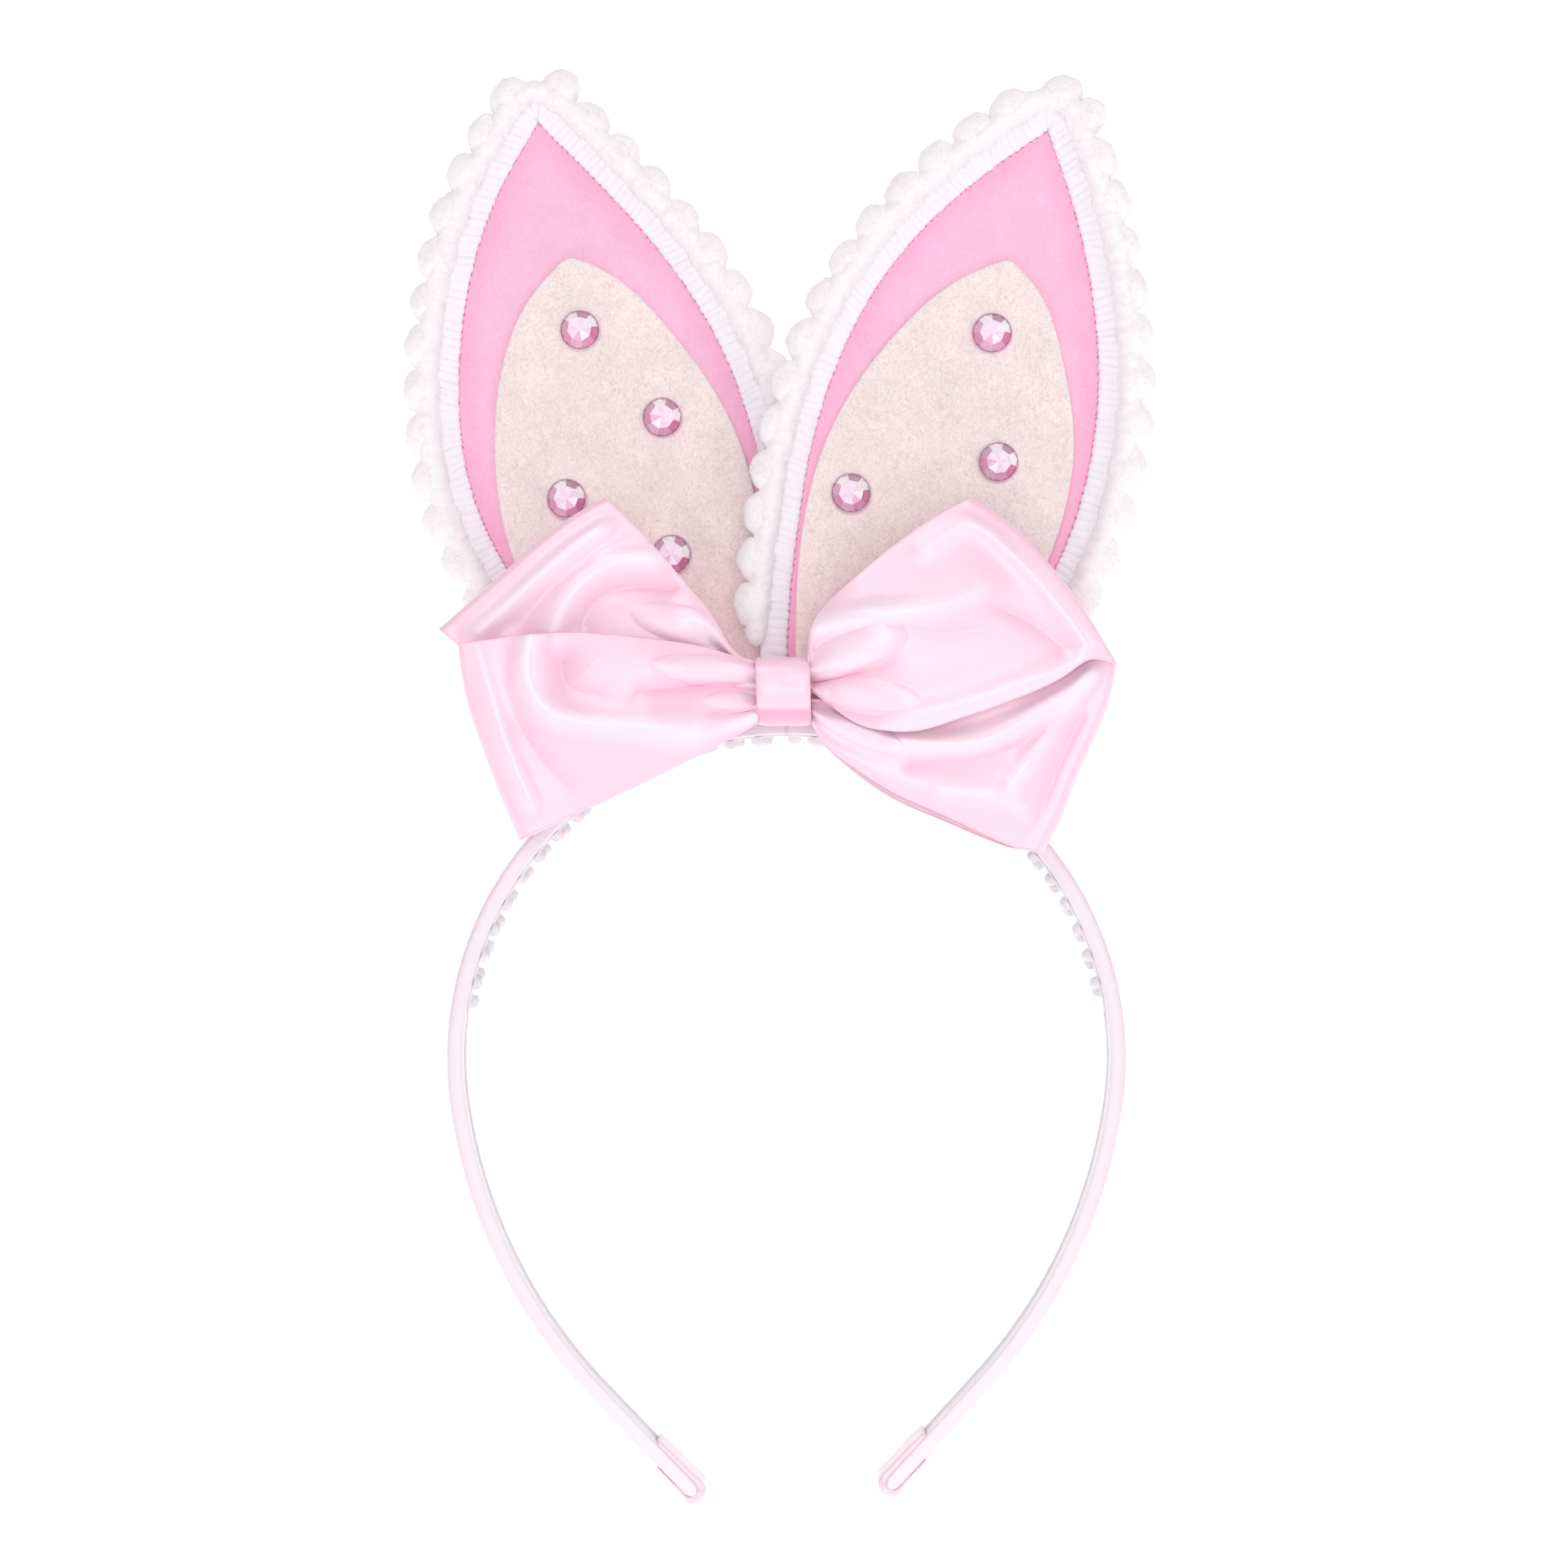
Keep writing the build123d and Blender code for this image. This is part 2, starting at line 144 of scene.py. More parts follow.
def headings(line):
    """The direction of travel at each point of a line."""
    return unit(np.gradient(line, axis=0))


def unit(v):
    return v / np.linalg.norm(v, axis=1)[:, None]


def circle(count):
    """Angles once round."""
    return 2 * pi * np.arange(count) / count


def lattice(i, j, k, seed):
    h = (i * 374761393 + j * 668265263 + k * 2147483629 + seed * 1274126177) & 0xFFFFFFFF
    h = ((h ^ (h >> 13)) * 1274126177) & 0xFFFFFFFF
    return (h ^ (h >> 16)) / 4294967295.0


def noise(x, y, z=0.0, seed=0):
    """Smooth value noise from -1 to 1 on arrays."""
    x, y, z = np.broadcast_arrays(np.asarray(x, float), np.asarray(y, float), np.asarray(z, float))
    i, j, k = (np.floor(v).astype(np.int64) for v in (x, y, z))
    f = [v - np.floor(v) for v in (x, y, z)]
    f = [v * v * (3 - 2 * v) for v in f]
    total = 0.0
    for di in (0, 1):
        for dj in (0, 1):
            for dk in (0, 1):
                w = (f[0] if di else 1 - f[0]) * (f[1] if dj else 1 - f[1]) * (f[2] if dk else 1 - f[2])
                total = total + w * lattice(i + di, j + dj, k + dk, seed)
    return total * 2 - 1


def smooth(x):
    x = np.clip(x, 0, 1)
    return x * x * (3 - 2 * x)


def distance_to(points, line):
    """Distance from each point (n, 2) to a polyline (m, 2), and how far along it the nearest point lies."""
    a, b = line[:-1], line[1:]
    ab = b - a
    ap = points[:, None, :] - a[None]
    t = np.clip((ap * ab).sum(-1) / np.maximum((ab * ab).sum(-1), 1e-12), 0, 1)
    near = ap - t[..., None] * ab
    d = np.linalg.norm(near, axis=-1)
    best = d.argmin(1)
    rows = np.arange(len(points))
    lengths = arc_lengths(line)
    along = (lengths[:-1][best] + t[rows, best] * np.diff(lengths)[best]) / lengths[-1]
    return d[rows, best], along


# ---- meshes -----------------------------------------------------------------------------------------------
class Mesh:
    """Collects grids and faces, then makes one object of them."""

    def __init__(self):
        self.verts, self.faces, self.uvs, self.tints = [], [], [], []
        self.count = 0

    def put(self, p, uv=None, tint=(1, 1, 1)):
        """Adds points, each with its own UV and tint or one tint for all, and returns their numbers."""
        n = len(p)
        self.verts.append(p)
        self.uvs.append(np.zeros((n, 2)) if uv is None else uv)
        self.tints.append(np.broadcast_to(np.asarray(tint, float).reshape(-1, 3), (n, 3)))
        self.count += n
        return np.arange(self.count - n, self.count)

    def grid(self, p, wrap_v=False, uv=None, tint=(1, 1, 1), flip=False):
        """Quads over a (nu, nv, 3) array of points, closed round v if asked."""
        nu, nv = p.shape[:2]
        ids = self.put(p.reshape(-1, 3), None if uv is None else uv.reshape(-1, 2), tint).reshape(nu, nv)
        ring = np.concatenate([ids, ids[:, :1]], 1) if wrap_v else ids
        quads = np.stack([ring[:-1, :-1], ring[1:, :-1], ring[1:, 1:], ring[:-1, 1:]], -1).reshape(-1, 4)
        self.faces.extend((quads[:, ::-1] if flip else quads).tolist())
        return ids

    def tube(self, p, flip=False, **looks):
        """A grid closed round its sections, with a face over each end."""
        ids = self.grid(p, wrap_v=True, flip=flip, **looks)
        self.cap(ids[0], flip)
        self.cap(ids[-1], not flip)

    def layered(self, p, flip, uv, tint=(1, 1, 1)):
        """A grid whose sections run out along one layer and back along another, closed by quads at its ends."""
        ids = self.grid(p, wrap_v=True, flip=flip, uv=uv, tint=tint)
        for row, turned in ((ids[0], flip), (ids[-1], not flip)):
            for j in range(p.shape[1] // 2 - 1):
                self.cap([row[j], row[j + 1], row[-2 - j], row[-1 - j]], turned)

    def cap(self, ids, flip=False):
        """One face over a ring of vertex numbers."""
        ring = list(map(int, ids))
        self.faces.append(ring[::-1] if flip else ring)

    def facet(self, points, tint):
        """A separate face with a flat colour of its own."""
        self.cap(self.put(np.array(points), None, np.clip(tint, 0, 1)))

    def make(self, name, mat, merge=0.0):
        """One object of everything collected; points closer than merge are joined."""
        me = bpy.data.meshes.new(name)
        me.from_pydata((np.concatenate(self.verts) * MM).tolist(), [], self.faces)
        loops = np.empty(len(me.loops), np.int32)
        me.loops.foreach_get("vertex_index", loops)
        uv = np.concatenate(self.uvs)[loops]
        me.uv_layers.new(name="UVMap").data.foreach_set("uv", uv.astype(np.float32).ravel())
        tint = np.concatenate(self.tints)
        layer = me.color_attributes.new("tint", "FLOAT_COLOR", "POINT")
        layer.data.foreach_set("color", np.column_stack([tint, np.ones(len(tint))]).astype(np.float32).ravel())
        me.materials.append(mat)
        me.polygons.foreach_set("use_smooth", [True] * len(me.polygons))
        if merge:
            bm = bmesh.new()
            bm.from_mesh(me)
            bmesh.ops.remove_doubles(bm, verts=bm.verts, dist=merge * MM)
            bmesh.ops.dissolve_degenerate(bm, edges=bm.edges, dist=1e-7)
            bmesh.ops.recalc_face_normals(bm, faces=bm.faces)
            bm.to_mesh(me)
            bm.free()
        me.validate()
        me.update()
        obj = bpy.data.objects.new(name, me)
        bpy.context.scene.collection.objects.link(obj)
        return obj


def uv_of(along, across):
    """UVs in millimetres for a grid, from its lengths along and across."""
    return np.stack(np.broadcast_arrays(along[:, None], across[None]), -1)


def seat(obj, body, slot, *nodes):
    """obj rides on a body and stands for CAD nodes; slot is not used."""
    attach(obj, body)
    return stand_for(obj, slot, *nodes)


def stand_for(obj, slot, *nodes):
    """obj stands for CAD nodes, whose parts are hidden; slot is not used."""
    if nodes:
        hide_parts(*nodes)
    return obj


# ---- materials --------------------------------------------------------------------------------------------
class Shader:
    """Small helper that builds a node material round one Principled shader."""

    def __init__(self, name, color, roughness, **sockets):
        self.mat = bpy.data.materials.new(name)
        self.mat.use_nodes = True
        self.nodes, self.links = self.mat.node_tree.nodes, self.mat.node_tree.links
        self.bsdf = self.nodes["Principled BSDF"]
        self.feed("Base Color", color)
        self.feed("Roughness", roughness)
        for key, value in sockets.items():
            self.feed(key.replace("_", " "), value)
        self.height = None

    def feed(self, socket, value):
        """Links an output to a socket, or sets the socket's value. A name is a socket of the Principled shader."""
        if isinstance(socket, str):
            socket = self.bsdf.inputs[socket]
        if isinstance(value, bpy.types.NodeSocket):
            self.links.new(value, socket)
        else:
            socket.default_value = (*value, 1) if isinstance(value, tuple) else value

    def node(self, kind, **values):
        """A node whose inputs and settings take the values of the same name."""
        n = self.nodes.new(kind)
        for key, value in values.items():
            name = key.replace("_", " ")
            if name in n.inputs:
                self.feed(n.inputs[name], value)
            else:
                setattr(n, key, value)
        return n

    def coords(self, scale=(1, 1, 1), uv=False):
        """Object coordinates in millimetres, or the UV map, scaled."""
        src = self.node("ShaderNodeTexCoord").outputs["UV" if uv else "Object"]
        factor = 1 if uv else 1 / MM
        return self.node("ShaderNodeMapping", Vector=src, Scale=[s * factor for s in scale]).outputs["Vector"]

    def noise(self, scale=1.0, detail=3.0, rough=0.55, stretch=(1, 1, 1), uv=False, distort=0.0):
        return self.node("ShaderNodeTexNoise", Scale=scale, Detail=detail, Roughness=rough, Distortion=distort,
                         Vector=self.coords(stretch, uv)).outputs["Fac"]

    def ramp(self, fac, *stops):
        """A colour ramp over fac through (position, colour) stops."""
        r = self.node("ShaderNodeValToRGB", Fac=fac)
        while len(r.color_ramp.elements) < len(stops):
            r.color_ramp.elements.new(0.5)
        for element, (position, color) in zip(r.color_ramp.elements, stops):
            element.position = position
            element.color = (*color, 1)
        return r.outputs["Color"]

    def mix(self, a, b, fac, mode="MIX"):
        m = self.node("ShaderNodeMix", data_type="RGBA", blend_type=mode)
        for socket, value in ((m.inputs["Factor"], fac), (m.inputs[6], a), (m.inputs[7], b)):
            self.feed(socket, value)
        return m.outputs[2]

    def math(self, op, a, b):
        m = self.node("ShaderNodeMath", operation=op)
        self.feed(m.inputs[0], a)
        self.feed(m.inputs[1], b)
        return m.outputs[0]

    def tinted(self, color):
        """Takes a colour, multiplied by the mesh's own tint, as the base colour."""
        tint = self.node("ShaderNodeAttribute", attribute_name="tint").outputs["Color"]
        self.feed("Base Color", self.mix(color, tint, 1.0, "MULTIPLY"))

    def drift(self, fac, low, high):
        """Lets the base colour drift between two shades."""
        self.feed("Base Color", self.ramp(fac, (0.3, low), (0.7, high)))

    def rough(self, fac, low, high):
        between = self.node("ShaderNodeMapRange", Value=fac, To_Min=low, To_Max=high)
        self.feed("Roughness", between.outputs["Result"])

    def bump(self, height, depth_mm, strength):
        """Adds a bump of a depth in millimetres on top of earlier ones."""
        b = self.node("ShaderNodeBump", Strength=strength, Distance=depth_mm * MM, Height=height)
        if self.height is not None:
            self.feed(b.inputs["Normal"], self.height)
        self.height = b.outputs["Normal"]
        self.feed("Normal", self.height)


def satin(name, light, deep, rough, gloss):
    """Glossy ribbon: long fine floats along the cloth over a deeper body colour, with slight colour drift."""
    s = Shader(name, light, rough, Sheen_Weight=0.35, Sheen_Roughness=0.4, Specular_IOR_Level=gloss,
               Coat_Weight=0.45, Coat_Roughness=0.34)
    drift = s.noise(0.09, 2.0)
    floats = s.noise(1.0, 3.0, 0.65, stretch=(0.5, 6.0, 1), uv=True)
    body = s.mix(light, deep, s.math("MULTIPLY", drift, 0.5))
    body = s.mix(body, s.ramp(floats, (0.35, deep), (0.65, light)), 0.3)
    s.tinted(body)
    s.rough(floats, rough - 0.06, rough + 0.10)
    s.bump(floats, 0.02, 0.7)
    s.bump(s.noise(1.0, 1.0, 0.5, stretch=(5.0, 5.0, 1), uv=True), 0.014, 0.6)
    return s.mat


def felt(name, light, deep, fleck, scale, matting):
    """Matted fibre: short tangled strands in colour and relief, with broad soft mottling."""
    s = Shader(name, light, 0.92, Sheen_Weight=0.2, Sheen_Roughness=0.6, Specular_IOR_Level=0.12)
    strands = s.noise(1.15 * scale, 6.0, 0.72, stretch=(1.0, 1.0, 0.75), distort=2.2)
    hairs = s.noise(3.4 * scale, 3.0, 0.6, distort=1.0)
    base = s.ramp(strands, (0.40, deep), (0.5, light), (0.61, fleck))
    base = s.mix(base, s.ramp(hairs, (0.38, deep), (0.6, light)), 0.35)
    base = s.mix(light, base, matting)
    shade = s.math("ADD", s.math("MULTIPLY", s.noise(0.16 * scale, 4.0, 0.6), 0.16), 0.91)
    grey = s.node("ShaderNodeCombineColor", Red=shade, Green=shade, Blue=shade)
    s.tinted(s.mix(base, grey.outputs[0], 1.0, "MULTIPLY"))
    s.bump(strands, 0.12, 0.5)
    s.bump(hairs, 0.08, 0.4)
    return s.mat


def pompom_yarn():
    s = Shader("pompom_yarn", (0.93, 0.89, 0.905), 0.95, Sheen_Weight=0.4, Sheen_Roughness=0.7,
               Specular_IOR_Level=0.1)
    fuzz = s.noise(1.4, 4.0, 0.65)
    s.drift(fuzz, (0.885, 0.84, 0.862), (0.945, 0.908, 0.925))
    s.bump(fuzz, 0.15, 0.4)
    return s.mat


def braid_cotton():
    s = Shader("braid_cotton", (0.90, 0.84, 0.89), 0.85, Sheen_Weight=0.3, Specular_IOR_Level=0.2)
    strand = s.noise(1.0, 3.0, 0.6, stretch=(7.0, 1.1, 1), uv=True)
    s.tinted(s.ramp(strand, (0.3, (0.88, 0.82, 0.885)), (0.7, (0.945, 0.895, 0.935))))
    s.bump(strand, 0.08, 0.6)
    return s.mat


def stone_acrylic():
    s = Shader("stone_acrylic", (0.8, 0.5, 0.65), 0.08, Coat_Weight=1.0, Coat_Roughness=0.02)
    glint = s.ramp(s.noise(1.9, 3.0, 0.6, distort=2.0), (0.42, (0.74, 0.52, 0.64)), (0.54, (1, 1, 1)))
    tint = s.node("ShaderNodeAttribute", attribute_name="tint").outputs["Color"]
    s.feed("Base Color", s.mix(tint, glint, 0.55, "MULTIPLY"))
    return s.mat


def comb_plastic():
    s = Shader("comb_plastic", (0.76, 0.72, 0.755), 0.3, Coat_Weight=0.3, Coat_Roughness=0.2)
    s.drift(s.noise(0.6, 3.0), (0.70, 0.655, 0.695), (0.82, 0.775, 0.81))
    s.bump(s.noise(1.5, 2.0), 0.04, 0.4)
    return s.mat


def inner_strip():
    s = Shader("inner_strip", (0.78, 0.76, 0.785), 0.4)
    scuff = s.noise(0.5, 5.0, 0.6)
    s.drift(scuff, (0.74, 0.715, 0.745), (0.83, 0.80, 0.83))
    s.rough(scuff, 0.32, 0.5)
    s.bump(scuff, 0.02, 0.4)
    return s.mat


def hot_glue():
    s = Shader("hot_glue", (0.86, 0.83, 0.78), 0.22, Transmission_Weight=0.3, Subsurface_Weight=0.3,
               Subsurface_Scale=0.001)
    bubbles = s.noise(1.2, 2.0)
    s.drift(bubbles, (0.82, 0.79, 0.73), (0.9, 0.88, 0.84))
    s.bump(bubbles, 0.15, 0.4)
    return s.mat


# thread for the bow's tie, also used for the dark marks that paint shadow in the braid's notches
def thread_and_notch_shadow():
    s = Shader("thread_and_notch_shadow", (0.72, 0.20, 0.38), 0.6, Sheen_Weight=0.1)
    s.drift(s.noise(3.0, 2.0), (0.62, 0.12, 0.28), (0.84, 0.30, 0.48))
    return s.mat


MAT = {
    "bow": satin("bow_satin", (0.95, 0.65, 0.77), (0.93, 0.54, 0.69), 0.31, 1.0),
    "cover": satin("cover_satin", (0.81, 0.725, 0.785), (0.78, 0.675, 0.745), 0.42, 0.6),
    "tab": satin("tab_satin", (0.86, 0.66, 0.74), (0.83, 0.60, 0.70), 0.42, 0.6),
    "pink": felt("pink_felt", (0.95, 0.54, 0.715), (0.91, 0.445, 0.64), (0.98, 0.60, 0.765), 1.0, 0.7),
    "pale": felt("pale_felt", (0.92, 0.80, 0.80), (0.755, 0.61, 0.62), (0.99, 0.88, 0.85), 0.95, 1.0),
    "yarn": pompom_yarn(),
    "braid": braid_cotton(),
    "stone": stone_acrylic(),
    "comb": comb_plastic(),
    "strip": inner_strip(),
    "glue": hot_glue(),
    "thread": thread_and_notch_shadow(),
}


# ---- hoop -------------------------------------------------------------------------------------------------
def hoop_line(side, count):
    """Points on the hoop's inner face from the crown to a tip, the outward direction and the length at each."""
    arc = radians(ROUND_DEG) * INNER_R
    leg_r = LEG_R - BAND_T
    leg = radians(LEG_DEG[side]) * leg_r
    s = np.linspace(0, arc + leg + LEG_END, count)
    a = np.where(s < arc, s / INNER_R, radians(ROUND_DEG) + np.clip(s - arc, 0, leg) / leg_r)
    n = np.stack([np.sin(a), np.cos(a)], 1)
    centre = np.array([0.0, HOOP_Z])
    end_n = np.array([sin(radians(ROUND_DEG)), cos(radians(ROUND_DEG))])
    leg_centre = centre + (CROWN_R - LEG_R) * end_n
    p = np.where((s < arc)[:, None], centre + INNER_R * n, leg_centre + leg_r * n)
    p += np.stack([n[:, 1], -n[:, 0]], 1) * np.clip(s - arc - leg, 0, None)[:, None]
    mirror = [SIGN[side], 1]
    return p * mirror, n * mirror, s


def crown_arc(radius, deg):
    """Points round the hoop's centre at angles from the top, and the outward direction at each, in X and Z."""
    a = np.radians(deg)
    n = np.stack([np.sin(a), np.cos(a)], 1)
    return np.array([0.0, HOOP_Z]) + radius * n, n


def push_out(pts, n, amount):
    """Moves the points of a swept piece outwards, each by its amount."""
    pts[..., 0] += n[:, None, 0] * amount
    pts[..., 2] += n[:, None, 1] * amount


def swept(line, profile):
    """Positions of a profile of (across, outward) points at each station of a line of the hoop."""
    p, n = line[:2]
    pts = np.empty((len(p), len(profile), 3))
    pts[..., 0], pts[..., 1], pts[..., 2] = p[:, None, 0], profile[None, :, 0], p[:, None, 1]
    push_out(pts, n, profile[None, :, 1])
    return pts


def cover_profile():
    """The satin's closed thin section: from one lip round the outside to the other lip, and back beneath."""
    half, top, low_r, top_r, thick = BAND_W / 2, BAND_T, 0.55, 0.9, 0.38
    outer = [(-LIP_IN, 0.0), (-3.6, -0.02), (-4.4, 0.0)]
    for k in range(6):
        a = radians(-90 - 15 * k)
        outer.append((-half + low_r + low_r * cos(a), low_r + low_r * sin(a)))
    outer.append((-half, 1.5))
    for k in range(7):
        a = radians(180 - 15 * k)
        outer.append((-half + top_r + top_r * cos(a), top - top_r + top_r * sin(a)))
    outer += [(-2.4, top + 0.03), (0.0, top + 0.05)]
    outer += [(-w, h) for w, h in outer[-2::-1]]
    outer = np.array(outer)
    tangent = headings(outer)
    return outer, outer + np.stack([tangent[:, 1], -tangent[:, 0]], 1) * thick


def nose_taper(left):
    """How far the hoop's section closes in, from 1 down to a quarter, over the last stretch before its tip."""
    return np.sqrt(1 - NOSE_CLOSED * np.clip(1 - left / NOSE_LONG, 0, 1) ** 2)


def round_nose(pts, line, heights):
    """Draws the stations near the hoop's tip in towards the middle of its thickness."""
    _, n, s = line
    push_out(pts, n, (BAND_T / 2 - heights)[None] * (1 - nose_taper(s[-1] - s))[:, None])


def build_hoop():
    outer, inner = cover_profile()
    ring = np.concatenate([outer, inner[::-1]])
    girth = arc_lengths(outer)
    v = np.concatenate([girth, girth[::-1]])
    away = unit(ring - [0, BAND_T / 2])
    # painted shade: the satin is made a little pinker where it turns over the hoop's outer corners
    edge_shade_mask = smooth((ring[:, 1] - 1.7) / 1.2) * smooth((np.abs(ring[:, 0]) - 3.6) / 0.8)
    strip = [(-2.9, 0.62), (-2.75, 0.30), (-2.5, 0.22), (0, 0.20)]
    strip = np.array(strip + [(-w, h) for w, h in strip[-2::-1]] + [(0, 0.7)])
    for side in SIDES:
        line = hoop_line(side, 330)
        _, n, s = line
        pts = swept(line, ring)
        ripple = 0.03 * noise(s[:, None] * 0.55, v[None] * 0.5, seed=3)
        push_out(pts, n, ripple * away[None, :, 1])
        pts[..., 1] += ripple * away[None, :, 0]
        round_nose(pts, line, ring[:, 1])
        # painted shade along the rounded outer corners, a little uneven along the hoop
        painted_edge_shade = np.outer(0.8 + 0.5 * noise(s * 0.11, 0.0, seed=4), edge_shade_mask)
        tint = 1 - painted_edge_shade[..., None] * np.array([0.0, 0.075, 0.045])
        m = Mesh()
        m.layered(pts, side == "right", uv_of(s, v), tint)
        cover = m.make(f"hoop_satin_{side}", MAT["cover"])
        bend(cover)
        stand_for(cover, "cover_satin", "hoop_cover_crown", f"hoop_cover_arm_{side}")

        line = hoop_line(side, 240)
        pts = swept(line, strip)
        round_nose(pts, line, strip[:, 1])
        m = Mesh()
        m.tube(pts, side == "left")
        core = m.make(f"hoop_strip_{side}", MAT["strip"])
        bend(core)
        stand_for(core, "band_core", "hoop_crown", f"hoop_arm_{side}")


def bend(obj):
    """Bakes the placement of a piece of the hoop that runs from the crown into an arm into its mesh."""
    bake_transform(obj)


def build_comb():
    half, low, r, root = COMB_W / 2, COVER_T - COMB_T, 0.25, 0.3
    profile = [(-half, root), (-half, low + r), (-half + 0.08, low + 0.08), (-half + r, low), (0, low - 0.04)]
    profile = np.array(profile + [(-w, h) for w, h in profile[-2::-1]])
    deg = np.linspace(0, COMB_DEG, 160)
    for side in SIDES:
        sign = SIGN[side]
        line = crown_arc(INNER_R, sign * deg)
        pts = swept(line, profile)
        push_out(pts, line[1], -0.06 * noise(deg * 0.7, 0.0, seed=11)[:, None])
        m = Mesh()
        m.tube(pts, side == "left")
        for k in range(int(COMB_DEG / TOOTH_PITCH_DEG) + 1):
            for row, shift in ((-1, 0.0), (1, TOOTH_STAGGER_DEG)):
                d = k * TOOTH_PITCH_DEG + sign * shift
                if 0.4 < d < COMB_DEG - 1:
                    tooth(m, sign * d, row * TOOTH_ROW_Y)
        comb = m.make(f"comb_{side}", MAT["comb"])
        bend(comb)
        stand_for(comb, "comb_plastic", "comb_crown", f"comb_arm_{side}")


def tooth(m, deg, y):
    """A blunt moulded peg with a flared root, leaning a little at random."""
    a = radians(deg)
    out, across = np.array([sin(a), 0.0, cos(a)]), np.array([cos(a), 0.0, -sin(a)])
    root = np.array([0.0, y, HOOP_Z]) + out * (INNER_R + COVER_T - COMB_T + 0.1)
    lean_x, lean_y = rng.uniform(-0.12, 0.12, 2)
    h = (np.array([0.0, 0.25, 0.6, 1.0, 1.35, 1.6, 1.72]) * rng.uniform(0.9, 1.05))[:, None, None]
    r = np.array([1.5, 1.36, 1.28, 1.2, 1.04, 0.7, 0.2])[:, None, None]
    b = circle(10)[None, :, None]
    pts = root - out * h + across * (1.05 * r * np.cos(b) + lean_x * h)
    pts = pts + np.array([0, 1, 0]) * (0.95 * r * np.sin(b) + lean_y * h)
    ids = m.grid(pts, wrap_v=True)
    m.cap(ids[-1])
    m.cap(ids[0], True)


def build_tabs():
    """Satin tabs folded round the hoop's tips."""
    # path in (along, outward): up the outside, round the nose and back along the inside
    low, high, nose = -1.05, BAND_T + 0.42, 1.55
    mid, rad = (low + high) / 2, (high - low) / 2
    path = [(-9.0, BAND_T + 0.16), (-8.6, high - 0.08), (-6, high), (-2, high + 0.02)]
    for k in range(1, 12):
        a = radians(90 - 15 * k)
        path.append((nose * cos(a) - 0.1, mid + rad * sin(a)))
    path += [(-2.5, low - 0.12), (-6.0, low - 0.05), (-9.5, low + 0.05), (-11.6, low + 0.2), (-12.3, low + 0.35),
             (-12.5, low + 0.62), (-12.45, low + 0.95)]
    line = spline(path, 90)
    lengths = arc_lengths(line)
    tangent = headings(line)
    normal = np.stack([-tangent[:, 1], tangent[:, 0]], 1)[:, None]
    # the inner layer lies on the hoop, whose section closes in towards the tip
    back = np.minimum(line[:, 0], 0.0)
    reach = BAND_T / 2 * nose_taper(-back)
    core = np.stack([back, np.clip(line[:, 1], BAND_T / 2 - reach, BAND_T / 2 + reach)], 1)
    cols, width = np.linspace(-1, 1, 25), BAND_W / 2 - 0.15
    edge = smooth((np.abs(cols) - 0.86) / 0.14)
    drop = 0.15 * edge[None] ** 2 + 0.05 * noise(lengths[:, None] * 0.5, cols[None] * 2.5, seed=21)
    y = np.outer(width * (1 - 0.02 * smooth(lengths / lengths[-1])), cols)
    for side in SIDES:
        p, n, _ = hoop_line(side, 900)
        tip, out = p[-1], n[-1]
        along = SIGN[side] * np.array([out[1], -out[0]])
        layers = []
        for layer in (line, core):
            q = layer[:, None] - normal * drop[..., None]
            xz = tip + along * q[..., :1] + out * q[..., 1:]
            layers.append(np.stack([xz[..., 0], y, xz[..., 1]], -1))
        ring = np.concatenate([layers[0], layers[1][:, ::-1]], 1)
        m = Mesh()
        m.layered(ring, side == "left", uv_of(lengths, np.concatenate([cols, cols[::-1]]) * width))
        tab = m.make(f"tip_tab_{side}_satin", MAT["tab"], merge=0.0001)
        seat(tab, f"arm_{side}", "tab_satin", f"tip_tab_{side}")


# ---- ears -------------------------------------------------------------------------------------------------
def edge_names(side):
    return ("outer", "inner") if side == "left" else ("inner", "outer")


def grown_edge(points, margin, left_edge, count=500):
    """One side of a leaf outline and its outward normal, moved outwards by a margin."""
    p = spline(points, count)
    t = headings(p)
    n = np.stack([t[:, 1], -t[:, 0]], 1) * (1 if left_edge else -1)
    return p + margin * n, n


def leaf_sides(side, outline, margin):
    """The left and the right edge of a grown leaf, each from the middle of its rounded tip to its foot."""
    edges = []
    curves = [grown_edge(outline[name], margin, k == 0) for k, name in enumerate(edge_names(side))]
    tip = np.array(outline["outer"][0], float)
    angles = [atan2(n[0, 1], n[0, 0]) for _, n in curves]
    for (p, _), angle in zip(curves, angles):
        a = np.linspace(sum(angles) / 2, angle, 24)[:-1]
        cap = tip + margin * np.stack([np.cos(a), np.sin(a)], 1)
        edges.append(resample(np.concatenate([cap, p]) if margin > 0 else p, EDGE_POINTS))
    return edges


def ear_wave(side, x, z):
    """Slight waviness shared by every layer of an ear."""
    x, z = np.asarray(x), np.asarray(z)
    seed = {"left": 31, "right": 37}[side]
    broad = 0.45 * noise(x * 0.028, z * 0.024, seed=seed)
    return smooth((z - 12) / 40) * (broad + 0.12 * noise(x * 0.09, z * 0.08, seed=seed + 1))


